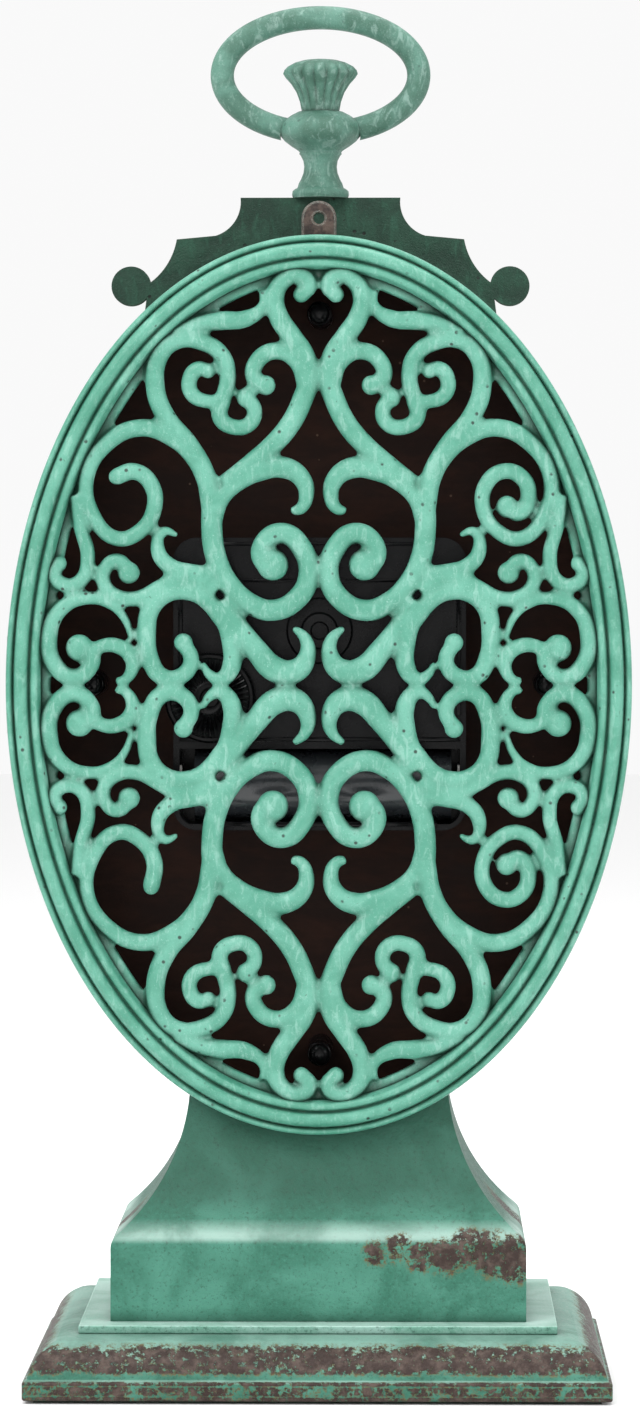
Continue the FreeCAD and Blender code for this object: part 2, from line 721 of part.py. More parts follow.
def make_crown():
    foot = val("crown_z")
    rise = val("crown_rise")
    low = val("crown_foot_radius")
    wide = val("crown_radius")

    def at(radius, height):
        return V(radius, 0, foot + height)

    curve = Part.BSplineCurve()
    curve.interpolate(
        [
            at(low, 0.1),
            at(low + 0.5, 0.3 * rise),
            at(wide - 0.4, 0.62 * rise),
            at(wide, 0.75 * rise),
            at(wide - 1.2, 0.9 * rise),
            at(2.5, rise - 0.1),
        ]
    )
    edges = [
        segment(V(0, 0, foot + 0.1), at(low, 0.1)),
        curve.toShape(),
        segment(at(2.5, rise - 0.1), V(0, 0, foot + rise)),
        segment(V(0, 0, foot + rise), V(0, 0, foot + 0.1)),
    ]
    solid = wire_face(edges).revolve(V(0, 0, 0), Z_AXIS, 360)
    flutes = int(val("crown_flutes"))
    groove = 0.9 * math.pi * wide / flutes / 2
    for index in range(flutes):
        angle = 2 * math.pi * (index + 0.5) / flutes
        start = V(math.cos(angle) * (low + 0.9), math.sin(angle) * (low + 0.9), foot - 0.5)
        end = V(math.cos(angle) * (wide + 0.5), math.sin(angle) * (wide + 0.5), foot + 0.8 * rise)
        solid = solid.cut(Part.makeCylinder(groove, (end - start).Length + 4, start, end - start))
    stud_way = rod(ALONG_Z, "0", "0", "crown_z - 1", "stud_radius + running_gap", "6")
    piece(cut(shaped(solid), stud_way), "crown_knob")


# ---------------------------------------------------------------- fretted rear cover

# One quarter of the scrollwork. Each stroke is its name, its width at the root, half way and end,
# the radius of the ball it ends in, and the points of its centre line, root first, as (across, up)
# from the middle of the oval. Across counts towards the left, so the upper left quarter is all positive.
STROKES = (
    ("heart", (3.8, 4.0, 2.8), 1.6, (
        (17.3, 37.4), (12.6, 41.2), (8.5, 44.8), (5.1, 48.9), (3.0, 53.2), (1.7, 57.6), (2.6, 61.3),
        (5.1, 65.1), (7.5, 68.9), (8.1, 72.3), (6.6, 75.3), (3.6, 76.4), (1.7, 74.5), (3.2, 72.8))),
    ("leaf", (2.6, 3.8, 0.8), 0.0, (
        (26.6, 65.3), (22.4, 67.2), (17.9, 67.9), (13.4, 68.3), (10.2, 70.8), (10.7, 73.6))),
    ("lobe", (4.0, 3.2, 2.8), 1.9, (
        (19.8, 33.3), (20.9, 38.9), (24.1, 44.8), (28.3, 50.0), (30.3, 55.9), (29.2, 61.9),
        (25.8, 64.4), (21.7, 64.0), (18.1, 61.7), (16.8, 57.8), (17.7, 53.2), (18.3, 50.0),
        (16.0, 48.2), (12.8, 48.7), (11.9, 51.5), (13.4, 53.6))),
    ("lobe_curl", (2.3, 3.0, 2.6), 1.5, (
        (17.5, 53.2), (20.5, 52.9), (23.4, 54.2), (23.9, 57.0), (22.4, 59.0), (20.5, 58.6))),
    ("stem_curl", (3.4, 3.2, 3.0), 1.9, (
        (2.3, 55.9), (4.0, 60.4), (7.9, 62.3), (11.5, 60.2), (11.9, 57.0), (9.8, 55.9))),
    ("centre_hook", (3.0, 4.1, 1.5), 0.0, (
        (19.4, 30.4), (18.1, 34.8), (14.9, 38.0), (10.7, 40.0), (6.4, 40.6), (3.0, 38.4), (2.3, 35.1),
        (3.4, 32.9), (5.1, 32.5))),
    ("great_spiral", (4.0, 4.0, 3.8), 3.0, (
        (19.6, 35.1), (19.8, 29.5), (19.0, 23.8), (16.4, 18.6), (12.6, 15.2), (8.7, 14.0), (4.3, 15.9),
        (1.8, 20.6), (3.2, 25.7), (6.6, 28.4), (10.0, 26.7), (10.4, 23.5), (8.5, 22.5))),
    ("side_hook", (3.0, 3.2, 0.9), 0.0, (
        (19.8, 20.8), (23.9, 21.2), (27.7, 22.3), (29.8, 25.3), (28.8, 28.7), (26.2, 28.0))),
    ("branch_curl", (3.2, 2.8, 2.6), 2.1, (
        (18.7, 17.8), (22.1, 19.7), (25.8, 20.1), (29.6, 18.2), (33.4, 16.3), (37.1, 16.5),
        (39.8, 18.9), (39.4, 22.1), (37.1, 23.3), (35.2, 21.0))),
    ("outer_curl", (3.8, 2.8, 3.2), 2.1, (
        (20.2, 37.0), (22.8, 42.3), (27.3, 46.3), (33.0, 48.0), (39.0, 45.3), (43.0, 38.9),
        (42.0, 32.1), (37.5, 27.4), (33.2, 28.7), (30.5, 32.9), (31.1, 37.6), (34.2, 39.9),
        (37.5, 38.9), (38.9, 35.6), (37.3, 32.2), (34.9, 33.3))),
    ("edge_curl", (2.6, 2.8, 2.6), 1.5, (
        (45.0, 35.5), (44.1, 29.5), (42.8, 23.8), (44.1, 19.5), (47.3, 18.8), (49.2, 20.8),
        (48.1, 22.7))),
    ("middle_curl", (1.1, 3.4, 3.0), 2.6, (
        (34.5, 8.4), (36.0, 12.5), (38.6, 15.2), (43.0, 16.3), (47.9, 14.2), (50.1, 9.0), (49.0, 3.9),
        (45.6, 1.5), (42.6, 3.2), (42.2, 6.0), (44.4, 7.0))),
    ("trefoil_leaf", (2.3, 3.2, 0.9), 0.0, (
        (42.8, 5.7), (40.1, 7.4), (37.1, 7.3), (34.7, 5.4), (34.7, 2.7), (36.6, 0.8), (37.7, 1.2))),
    ("middle_ring", (3.4, 3.6, 2.8), 1.8, (
        (17.9, 12.5), (20.9, 16.1), (24.1, 17.6), (28.1, 17.2), (31.1, 14.4), (31.9, 10.3),
        (31.3, 5.0), (29.0, 1.6), (25.6, 1.7), (23.6, 4.6), (25.1, 8.0))),
    ("ring_leaf", (3.4, 3.6, 0.9), 0.0, (
        (20.9, 16.1), (17.7, 12.5), (16.2, 7.8), (16.2, 3.5), (18.1, 1.2), (20.4, 2.2), (21.5, 4.2))),
    ("cross_hook", (3.4, 5.1, 1.1), 0.0, (
        (17.9, 15.9), (14.9, 11.0), (11.5, 6.5), (7.9, 2.9), (4.4, 2.7), (2.1, 5.5), (2.5, 8.8),
        (4.7, 10.8))),
)
# The oval opening that the strokes are drawn for, half its width and height.
STROKE_FIELD = (51.6, 77.4)
# The two outer curls on the left are shorter: how many of their points they keep, and their end's radius.
SHORT_CURL = "outer_curl"
SHORT_POINTS = {(1, 1): 13, (1, -1): 11}
SHORT_BALL = 1.5
RIBBON_STEPS = 3
LEAST_BEND = 0.6


def half_width(widths, share):
    """Half the width of a stroke at a share of its length."""
    first, middle, last = widths
    if share < 0.5:
        return (first + (middle - first) * 2 * share) / 2
    return (middle + (last - middle) * (2 * share - 1)) / 2


def ribbon(widths, ball, points, side_x, side_z):
    """A flat face along one stroke, and the ball it ends in, in one quarter of the oval."""
    line = Part.BSplineCurve()
    wider = val("opening_half_width") / STROKE_FIELD[0] * side_x
    taller = val("opening_half_height") / STROKE_FIELD[1] * side_z
    line.interpolate([V(-across * wider, 0, up * taller) for across, up in points])
    steps = RIBBON_STEPS * (len(points) - 1)
    first, last = line.FirstParameter, line.LastParameter
    sides = ([], [])
    for index in range(steps + 1):
        share = index / steps
        spot = first + (last - first) * share
        centre = line.value(spot)
        along = line.tangent(spot)[0]
        left = V(-along.z, 0, along.x)
        reach = half_width(widths, share)
        bend = line.curvature(spot)
        toward = left.dot(line.normal(spot)) if bend > 1e-6 else 0
        for side, sign in zip(sides, (1, -1)):
            # the inner edge of a tight curl stays short of the curl's own centre
            limit = LEAST_BEND / bend if sign * toward > 0 else reach
            side.append(centre + left * (sign * min(reach, limit)))
    edges = []
    for side in sides:
        curve = Part.BSplineCurve()
        curve.interpolate(side)
        edges.append(curve.toShape())
    edges.append(segment(sides[0][0], sides[1][0]))
    edges.append(segment(sides[0][-1], sides[1][-1]))
    faces = [wire_face(edges)]
    if ball:
        faces.append(Part.Face(Part.Wire(Part.Circle(line.value(last), Y_AXIS, ball).toShape())))
    return faces


def scroll_face():
    """The whole scrollwork as one flat face in the plane of X and Z."""
    faces = []
    for side_x, side_z in ((1, 1), (-1, 1), (1, -1), (-1, -1)):
        for name, widths, ball, points in STROKES:
            if name == SHORT_CURL and (side_x, side_z) in SHORT_POINTS:
                points = points[:SHORT_POINTS[side_x, side_z]]
                ball = SHORT_BALL
            faces += ribbon(widths, ball, points, side_x, side_z)
    for face in faces:
        if face.normalAt(0, 0).y < 0:
            face.reverse()
    return faces[0].multiFuse(faces[1:]).removeSplitter()


def make_cover():
    body = oval("ring_half_width", "ring_half_height", "-cover_face", "ring_thick")
    opening = oval("opening_half_width", "opening_half_height", "-cover_face - 1", "ring_thick + 2")
    rebate = oval(
        "opening_half_width + rebate_width", "opening_half_height + rebate_width", "-rim_face", "ring_thick"
    )
    strike_way = box("strike_x - fit_gap", "-cover_back - strike_thick - fit_gap",
                     "centre_z - magnet_height / 2 - fit_gap", "strike_width + 2 * fit_gap",
                     "strike_thick + 2", "magnet_height + 2 * fit_gap")
    piece(cut(body, opening, rebate, strike_way), "cover_ring")

    strike = box("strike_x", "-cover_back - strike_thick", "centre_z - magnet_height / 2",
                 "strike_width", "strike_thick", "magnet_height")
    piece(strike, "catch_strike")
    magnet = box("magnet_x", "-band_back", "centre_z - magnet_height / 2",
                 "drum_half_width - magnet_x", "magnet_depth", "magnet_height")
    inner = oval("drum_inner_half_width", "drum_inner_half_height", "-60", "120")
    piece(common(magnet, inner), "catch_magnet")

    scrolls = scroll_face().extrude(V(0, val("scroll_thick"), 0))
    scrolls.translate(V(0, -val("scroll_face"), val("centre_z")))
    field = oval("opening_half_width - fit_gap", "opening_half_height - fit_gap", "-cover_face", "ring_thick")
    rim = cut(
        oval("rim_half_width", "rim_half_height", "-rim_face + fit_gap", "rim_thick"),
        oval("rim_half_width - rim_width", "rim_half_height - rim_width", "-cover_face", "2 * ring_thick"),
    )
    grille = doc.addObject("Part::MultiFuse", "Grille")
    grille.Shapes = [common(shaped(scrolls), field), rim]
    piece(grille, "cover_scrollwork")


def make_hinge():
    half = "cover_knuckle / 2"
    knuckle = rod(
        ALONG_Z, "-hinge_offset", "-hinge_back", "centre_z - " + half, "knuckle_radius", "cover_knuckle"
    )
    web = box("-hinge_offset - knuckle_radius", "-cover_back", "centre_z - " + half,
              "2 * knuckle_radius", "cover_back - hinge_back", "cover_knuckle")
    bore = rod(
        ALONG_Z, "-hinge_offset", "-hinge_back", "centre_z - 30", "hinge_pin_radius + running_gap", "60"
    )
    piece(cut(fuse(knuckle, web), bore), "hinge_leaf_cover")

    reach = "(cover_knuckle / 2 + knuckle_gap + case_knuckle)"
    ends = [
        rod(ALONG_Z, "-hinge_offset", "-hinge_back", z, "knuckle_radius", "case_knuckle")
        for z in ("centre_z + cover_knuckle / 2 + knuckle_gap", "centre_z - " + reach)
    ]
    leaf = box("-drum_half_width - leaf_thick", "-hinge_back", "centre_z - " + reach,
               "2 * leaf_thick", "leaf_length", "2 * " + reach)
    drum = oval("drum_half_width", "drum_half_height", "-60", "120")
    swing = rod(ALONG_Z, "-hinge_offset", "-hinge_back", "centre_z - cover_knuckle / 2 - knuckle_gap",
                "knuckle_radius + 0.6", "cover_knuckle + 2 * knuckle_gap")
    bore = rod(
        ALONG_Z, "-hinge_offset", "-hinge_back", "centre_z - 30", "hinge_pin_radius + running_gap", "60"
    )
    piece(cut(fuse(leaf, *ends), drum, swing, bore), "hinge_leaf_case")
    pin = rod(
        ALONG_Z, "-hinge_offset", "-hinge_back", "centre_z - " + reach, "hinge_pin_radius", "2 * " + reach
    )
    piece(pin, "hinge_pin")


# ---------------------------------------------------------------- front

def make_front():
    rim = oval("bezel_half_width", "bezel_half_height", "band_front", "bezel_thick")
    recess = oval("bezel_half_width - bezel_rim", "bezel_half_height - bezel_rim",
                  "band_front + bezel_plate", "bezel_thick")
    ring = rod(ALONG_Y, "0", "band_front + 1", "arbor_z", "dial_opening + window_rim", "2 * bezel_plate - 1")
    bosses = post_rods("dial_back", "boss_radius", "band_front - dial_back + 1")
    window = rod(ALONG_Y, "0", "band_front - 1", "arbor_z", "dial_opening", "bezel_thick + 2")
    rebate = rod(ALONG_Y, "0", "band_front - 1", "arbor_z", "glass_radius + fit_gap",
                 "glass_back + glass_thick + fit_gap - band_front + 1")
    threads = post_rods("dial_back - 1", "post_hole_radius", "band_front - dial_back + 1.5")
    piece(cut(fuse(cut(rim, recess), ring, *bosses), window, rebate, *threads), "front_bezel")

    glass = doc.addObject("PartDesign::Body", "Glass")
    drawing = sketch_on(glass, "XZ_Plane", "-glass_back - glass_thick")
    circle(drawing, "glass_radius", "0 mm", "arbor_z")
    pad(glass, drawing, "glass_thick")
    piece(glass, "dial_glass")

    ring = rod(ALONG_Y, "0", "band_front", "arbor_z", "glass_radius", "retainer_thick")
    hole = rod(ALONG_Y, "0", "band_front - 1", "arbor_z", "dial_opening", "retainer_thick + 2")
    piece(cut(ring, hole), "glass_retainer")

    dial = rod(ALONG_Y, "0", "dial_back", "arbor_z", "dial_radius", "dial_thick")
    hole = rod(ALONG_Y, "0", "dial_back - 1", "arbor_z", "bushing_radius + fit_gap", "dial_thick + 2")
    piece(cut(dial, hole), "dial")
    washer = rod(ALONG_Y, "0", "dial_front", "arbor_z", "nut_half_flats + 1", "washer_thick")
    hole = rod(ALONG_Y, "0", "dial_front - 1", "arbor_z", "bushing_radius + fit_gap", "washer_thick + 2")
    piece(cut(washer, hole), "dial_washer")
    nut = doc.addObject("Part::Prism", "Nut")
    nut.Polygon = 6
    bind(nut, Circumradius="nut_half_flats / cos(30 deg)", Height="nut_thick")
    place(nut, "0", "nut_back", "arbor_z", ALONG_Y)
    hole = rod(ALONG_Y, "0", "nut_back - 1", "arbor_z", "bushing_radius + running_gap", "nut_thick + 2")
    piece(cut(nut, hole), "hex_nut")


def hand(length, widest, tail, hub, bore, back, angle):
    """A leaf-shaped hand with a round hub, turned clockwise from twelve as seen from the front."""
    thick = val("hand_thick")
    tip = V(0, 0, length)
    left = V(-widest / 2, 0, 0.55 * length)
    right = V(widest / 2, 0, 0.55 * length)
    stem = 0.16 * widest + 0.25
    edges = [
        segment(V(-stem, 0, -tail), V(stem, 0, -tail)),
        arc(V(stem, 0, -tail), V(0.6 * stem + 0.2 * widest, 0, 0.3 * length), right),
        arc(right, V(0.3 * widest, 0, 0.8 * length), tip),
        arc(tip, V(-0.3 * widest, 0, 0.8 * length), left),
        arc(left, V(-0.6 * stem - 0.2 * widest, 0, 0.3 * length), V(-stem, 0, -tail)),
    ]
    blade = wire_face(edges).extrude(V(0, thick, 0))
    disc = Part.makeCylinder(hub, thick, V(0, 0, 0), Y_AXIS)
    hole = Part.makeCylinder(bore, thick + 2, V(0, -1, 0), Y_AXIS)
    solid = blade.fuse(disc).cut(hole).removeSplitter() if bore > 0 else blade.fuse(disc).removeSplitter()
    solid.rotate(V(0, 0, 0), Y_AXIS, -angle)
    solid.translate(V(0, back, val("arbor_z")))
    return solid


def make_hands():
    slip = val("fit_gap") / 5
    hour = hand(val("hour_hand_length"), 4.6, 0.5, val("hour_pipe_radius") + 1.4,
                val("hour_pipe_radius") + slip, val("hour_hand_front"), 305)
    piece(shaped(hour), "hour_hand")
    minute = hand(val("minute_hand_length"), 3.6, 0.5, val("cannon_radius") + 1.4,
                  val("cannon_radius") + slip, val("minute_hand_back"), 60)
    piece(shaped(minute), "minute_hand")
    second = hand(val("second_hand_length"), 0.9, 9.0, 1.6, val("second_arbor_radius") + slip,
                  val("second_hand_back"), 205)
    piece(shaped(second), "second_hand")


# ---------------------------------------------------------------- movement

def gear(teeth, module, centre, back, thick, phase, bore=0.0):
    """A spur gear along +Y. One tooth points at the phase angle, counted from +X towards +Z."""
    pitch = 2 * math.pi / teeth
    root = module * (teeth / 2 - 1.15)
    tip = module * (teeth / 2 + 0.85)
    points = []
    for index in range(int(teeth)):
        middle = math.radians(phase) + index * pitch
        for radius, share in ((root, -0.29), (tip, -0.12), (tip, 0.12), (root, 0.29)):
            angle = middle + share * pitch
            points.append(V(centre[0] + radius * math.cos(angle), back, centre[1] + radius * math.sin(angle)))
    solid = Part.Face(Part.makePolygon(points + points[:1])).extrude(V(0, thick, 0))
    if bore:
        solid = solid.cut(Part.makeCylinder(bore, thick + 2, V(centre[0], back - 1, centre[1]), Y_AXIS))
    return solid


def bar(radius, centre, back, front, bore=0.0):
    """A round bar or tube along +Y between two places."""
    solid = Part.makeCylinder(radius, front - back, V(centre[0], back, centre[1]), Y_AXIS)
    if bore:
        hollow = Part.makeCylinder(bore, front - back + 2, V(centre[0], back - 1, centre[1]), Y_AXIS)
        solid = solid.cut(hollow)
    return solid


def train_places():
    """Centres of the movement's wheels, (x, z)."""
    arbor = (0.0, val("arbor_z"))
    turn = math.radians(val("train_angle"))
    module = val("train_module")
    near = module * (val("cannon_teeth") + val("idler_teeth")) / 2
    far = near + module * (val("idler_teeth") + val("knob_teeth")) / 2
    fine = val("fine_module")
    first = fine * (val("seconds_teeth") + val("reducer_pinion_teeth")) / 2
    second = fine * (val("reducer_teeth") + val("rotor_teeth")) / 2
    lean = math.radians(REDUCER_ANGLE)
    reducer = (arbor[0] + first * math.cos(lean), arbor[1] + first * math.sin(lean))
    return {
        "arbor": arbor,
        "idler": (near * math.cos(turn), arbor[1] + near * math.sin(turn)),
        "knob": (far * math.cos(turn), arbor[1] + far * math.sin(turn)),
        "reducer": reducer,
        "rotor": (reducer[0] + second, reducer[1]),
    }


REDUCER_ANGLE = 30
# Places of the wheels along Y, behind the origin plane where negative.
IDLER_LEVEL = (-4.4, -2.4)
CANNON_LEVEL = (-4.5, -2.3)
PINION_LEVEL = (-2.4, -0.2)
HOUR_LEVEL = (-1.6, -0.4)
CENTRE_LEVEL = (-7.4, -6.8)
SECONDS_LEVEL = (-9.5, -8.7)
REDUCER_LEVEL = (-8.4, -7.9)
ROTOR_PINION_LEVEL = (-8.6, -7.7)
ROTOR_LEVEL = (-7.5, -5.0)


def merged(shapes):
    """One solid from shapes that meet."""
    return shapes[0].multiFuse(shapes[1:]).removeSplitter()


def make_train():
    spots = train_places()
    arbor = spots["arbor"]
    toward = val("train_angle")
    module = val("train_module")
    hour_module = val("hour_module")
    fine = val("fine_module")
    gap = val("running_gap")
    cannon = val("cannon_radius")
    pipe = val("hour_pipe_radius")
    second = val("second_arbor_radius")
    post = val("post_radius") + gap
    fine_post = val("fine_post_radius") + gap

    minute = merged([
        bar(cannon, arbor, -8.0, val("minute_hand_back") + val("hand_thick")),
        gear(val("cannon_teeth"), module, arbor, CANNON_LEVEL[0], CANNON_LEVEL[1] - CANNON_LEVEL[0],
             toward + 180 / val("cannon_teeth")),
        gear(60, fine, arbor, CENTRE_LEVEL[0], CENTRE_LEVEL[1] - CENTRE_LEVEL[0], 0),
    ])
    minute = minute.cut(bar(second + gap, arbor, -20, 30))
    piece(shaped(minute), "minute_arbor")

    hour = merged([
        gear(val("hour_teeth"), hour_module, arbor, HOUR_LEVEL[0], HOUR_LEVEL[1] - HOUR_LEVEL[0],
             toward + 180 / val("hour_teeth")),
        bar(pipe, arbor, HOUR_LEVEL[0], val("hour_hand_front") + val("hand_thick")),
    ])
    piece(shaped(hour.cut(bar(cannon + gap, arbor, -20, 30))), "hour_wheel")

    idler = merged([
        gear(val("idler_teeth"), module, spots["idler"], IDLER_LEVEL[0],
             IDLER_LEVEL[1] - IDLER_LEVEL[0], toward),
        gear(val("pinion_teeth"), hour_module, spots["idler"], PINION_LEVEL[0],
             PINION_LEVEL[1] - PINION_LEVEL[0], toward),
    ])
    piece(shaped(idler.cut(bar(post, spots["idler"], -20, 30))), "idler_wheel")

    back = -val("movement_back")
    knob = merged([
        gear(val("knob_teeth"), module, spots["knob"], IDLER_LEVEL[0], IDLER_LEVEL[1] - IDLER_LEVEL[0],
             toward + 180 / val("knob_teeth")),
        bar(val("knob_stem_radius"), spots["knob"], back - 1, IDLER_LEVEL[1]),
        bar(val("knob_radius"), spots["knob"], back - 0.4 - val("knob_thick"), back - 0.4),
    ])
    piece(shaped(knob.cut(bar(post, spots["knob"], -6.3, 30))), "set_knob")

    seconds = merged([
        gear(val("seconds_teeth"), fine, arbor, SECONDS_LEVEL[0], SECONDS_LEVEL[1] - SECONDS_LEVEL[0],
             REDUCER_ANGLE + 180 / val("seconds_teeth")),
        bar(second, arbor, -10.4, val("hand_end") + 0.2),
    ])
    piece(shaped(seconds), "second_arbor")

    reducer = merged([
        gear(val("reducer_pinion_teeth"), fine, spots["reducer"], -9.6, 1.3, REDUCER_ANGLE + 180),
        gear(val("reducer_teeth"), fine, spots["reducer"], REDUCER_LEVEL[0],
             REDUCER_LEVEL[1] - REDUCER_LEVEL[0], 0),
    ])
    piece(shaped(reducer.cut(bar(fine_post, spots["reducer"], -20, 30))), "reducer_wheel")

    rotor = merged([
        gear(val("rotor_teeth"), fine, spots["rotor"], ROTOR_PINION_LEVEL[0],
             ROTOR_PINION_LEVEL[1] - ROTOR_PINION_LEVEL[0], 180 + 180 / val("rotor_teeth")),
        bar(val("rotor_hub_radius"), spots["rotor"], ROTOR_PINION_LEVEL[0], ROTOR_LEVEL[1]),
        bar(val("rotor_radius"), spots["rotor"], *ROTOR_LEVEL),
    ])
    piece(shaped(rotor.cut(bar(fine_post, spots["rotor"], -20, 30))), "rotor")


def rounded_block(back, depth, inset="0"):
    """The movement's square outline with its round corners, less an inset, from y = back, along +Y."""
    half = "(movement_width / 2 - %s)" % inset
    straight = "(movement_width / 2 - movement_corner)"
    parts = [
        box("-" + half, back, "centre_z - " + straight, "2 * " + half, depth, "2 * " + straight),
        box("-" + straight, back, "centre_z - " + half, "2 * " + straight, depth, "2 * " + half),
    ]
    for x in ("-" + straight, straight):
        for z in ("centre_z - " + straight, "centre_z + " + straight):
            parts.append(rod(ALONG_Y, x, back, z, "movement_corner - " + inset, depth))
    return fuse(*parts)


def make_movement():
    spots = train_places()
    half = "movement_width / 2"
    inner = "(movement_width / 2 - movement_wall)"
    gear_low = "centre_z - movement_width / 2 + bay_height"
    gear_height = "movement_width - bay_height - movement_wall"
    bay_low = "centre_z - " + inner
    bay_height = "bay_height - 2 * movement_wall"
    floor = val("board_back") - val("movement_wall")

    rear = rounded_block("-movement_back", "movement_back - movement_split")
    gears_way = box("-" + inner, "-movement_back + movement_wall", gear_low, "2 * " + inner,
                    "movement_back", gear_height)
    within = rounded_block("-movement_back - 2", "2 * movement_back", "corner_wall")
    bay = box("-" + inner, "-movement_back - 1", bay_low, "2 * " + inner, "movement_back + 2", bay_height)
    knob_way = shaped(bar(val("knob_stem_radius") + val("running_gap"), spots["knob"], -20, 0))
    rear_wall = -val("movement_back") + val("movement_wall") - 0.5
    posts = [
        shaped(bar(val("fine_post_radius"), spots["reducer"], rear_wall, REDUCER_LEVEL[1] + 0.2)),
        shaped(bar(val("fine_post_radius"), spots["rotor"], rear_wall, ROTOR_LEVEL[1] - 0.2)),
    ]
    hollows = [common(space, within) for space in (gears_way, bay)]
    piece(fuse(cut(rear, *hollows, knob_way), *posts), "movement_back_cover")

    front = rounded_block("-movement_split", "movement_split + board_back")
    gears_way = box("-" + inner, "-movement_split - 1", gear_low, "2 * " + inner,
                    "movement_split + 1 + board_back - movement_wall", gear_height)
    bay = box("-" + inner, "-movement_split - 1", bay_low, "2 * " + inner,
              "movement_split + 1 + board_back - movement_wall", bay_height)
    bushing = rod(ALONG_Y, "0", "board_back - movement_wall", "arbor_z", "bushing_radius",
                  "movement_wall + bushing_length")
    bore = rod(ALONG_Y, "0", "-5", "arbor_z", "bushing_bore", "30")
    posts = [
        shaped(bar(val("post_radius"), spots[name], -6.0, floor + 0.5)) for name in ("idler", "knob")
    ]
    hollows = [common(space, within) for space in (gears_way, bay)]
    piece(fuse(cut(fuse(cut(front, *hollows), bushing), bore), *posts), "movement_front_case")

    cell_y = floor - val("fit_gap") - val("cell_radius")
    cell_z = "centre_z - movement_width / 2 + bay_height / 2"
    cell = rod(ALONG_X, "-cell_length / 2 + cell_shift", str(cell_y), cell_z, "cell_radius", "cell_length")
    nub = rod(ALONG_X, "cell_length / 2 + cell_shift - fit_gap", str(cell_y), cell_z,
              "nub_radius", "nub_length + fit_gap")
    piece(fuse(cell, nub), "battery")
    plates = [
        box(x, str(cell_y) + " - contact_depth / 2", cell_z + " - contact_height / 2",
            "contact_thick", "contact_depth", "contact_height")
        for x in ("-" + inner, inner + " - contact_thick")
    ]
    spring = rod(
        ALONG_X, "-" + inner + " + contact_thick", str(cell_y), cell_z, "spring_radius", "spring_length"
    )
    piece(plates[1], "contact_plate")
    piece(fuse(plates[0], spring), "contact_spring")

    board_y = "-movement_back + movement_wall"
    board = box("circuit_x", board_y, "centre_z - circuit_drop",
                "circuit_width", "circuit_thick", "circuit_height")
    piece(board, "circuit_board")
    chip = box("circuit_x + chip_shift", board_y + " + circuit_thick", "centre_z - chip_size",
               "chip_size", "chip_thick", "chip_size")
    piece(chip, "control_chip")
    crystal = rod(ALONG_Z, "circuit_x + circuit_width - 3 * crystal_radius",
                  board_y + " + circuit_thick + crystal_radius + running_gap",
                  "centre_z - circuit_drop + 1.3 * crystal_radius", "crystal_radius", "crystal_length")
    piece(crystal, "quartz_crystal")

    def stator():
        return box("stator_x", "-stator_back", "centre_z + stator_rise",
                   "stator_width", "stator_thick", "stator_height")

    rotor_way = shaped(bar(val("rotor_radius") + 5 * val("fit_gap"), spots["rotor"], -8, -4))
    piece(cut(stator(), rotor_way), "stator_plate")
    bobbin = rod(ALONG_X, "stator_x + coil_shift", "-stator_back + stator_thick / 2",
                 "centre_z + stator_rise + stator_height - coil_drop", "coil_radius", "coil_length")
    piece(cut(bobbin, stator()), "coil")


make_base()
make_case()
make_crest()
make_lug()
make_pendant()
make_crown()
make_cover()
make_hinge()
make_front()
make_hands()
make_train()
make_movement()

doc.recompute()
failed = [item.Label for item in doc.Objects if {"Invalid", "Error"} & set(item.State)]
for item in PIECES:
    if item.Shape.isNull() or not item.Shape.isValid():
        failed.append(item.Label)
if failed:
    raise RuntimeError("not built: " + ", ".join(failed))

os.makedirs("parts", exist_ok=True)
for item in PIECES:
    item.Shape.exportStep("parts/%s.step" % item.Label)
    print("%-22s %10.1f mm3, %d solids" % (item.Label, item.Shape.Volume, len(item.Shape.Solids)))
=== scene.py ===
"""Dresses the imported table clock: cast ornament, verdigris paint, movement, dial, floor and light."""

import json
import logging
import math
from dataclasses import dataclass
from enum import Enum
from typing import Iterable, Sequence

import bmesh
import bpy
from mathutils import Matrix, Vector

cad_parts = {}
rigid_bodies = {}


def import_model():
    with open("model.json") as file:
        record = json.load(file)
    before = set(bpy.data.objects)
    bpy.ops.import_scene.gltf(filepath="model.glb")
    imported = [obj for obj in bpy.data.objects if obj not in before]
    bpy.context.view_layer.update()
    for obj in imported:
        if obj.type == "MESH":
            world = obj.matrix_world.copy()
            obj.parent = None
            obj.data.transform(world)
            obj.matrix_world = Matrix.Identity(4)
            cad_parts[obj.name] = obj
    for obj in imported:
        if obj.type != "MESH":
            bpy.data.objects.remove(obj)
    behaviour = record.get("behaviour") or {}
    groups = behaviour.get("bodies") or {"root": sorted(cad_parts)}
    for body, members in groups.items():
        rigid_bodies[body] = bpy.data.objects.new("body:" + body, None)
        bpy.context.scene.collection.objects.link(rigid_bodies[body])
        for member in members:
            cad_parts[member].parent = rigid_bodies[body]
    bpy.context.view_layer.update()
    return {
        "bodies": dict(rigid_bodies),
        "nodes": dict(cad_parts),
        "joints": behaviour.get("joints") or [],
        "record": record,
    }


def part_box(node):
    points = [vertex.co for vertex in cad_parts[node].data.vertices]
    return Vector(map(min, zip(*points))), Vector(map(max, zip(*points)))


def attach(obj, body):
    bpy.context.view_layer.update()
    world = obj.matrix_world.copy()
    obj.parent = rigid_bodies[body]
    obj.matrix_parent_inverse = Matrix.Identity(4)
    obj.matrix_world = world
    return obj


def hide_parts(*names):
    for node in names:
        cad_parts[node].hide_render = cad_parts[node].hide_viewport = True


LOG = logging.getLogger("table_clock")
MM = 0.001
Colour = tuple[float, float, float]


class Body(Enum):
    """The clock's moving bodies, by their names in the frame."""

    CLOCK = "clock"
    COVER = "rear_cover"
    KNOB = "set_knob"


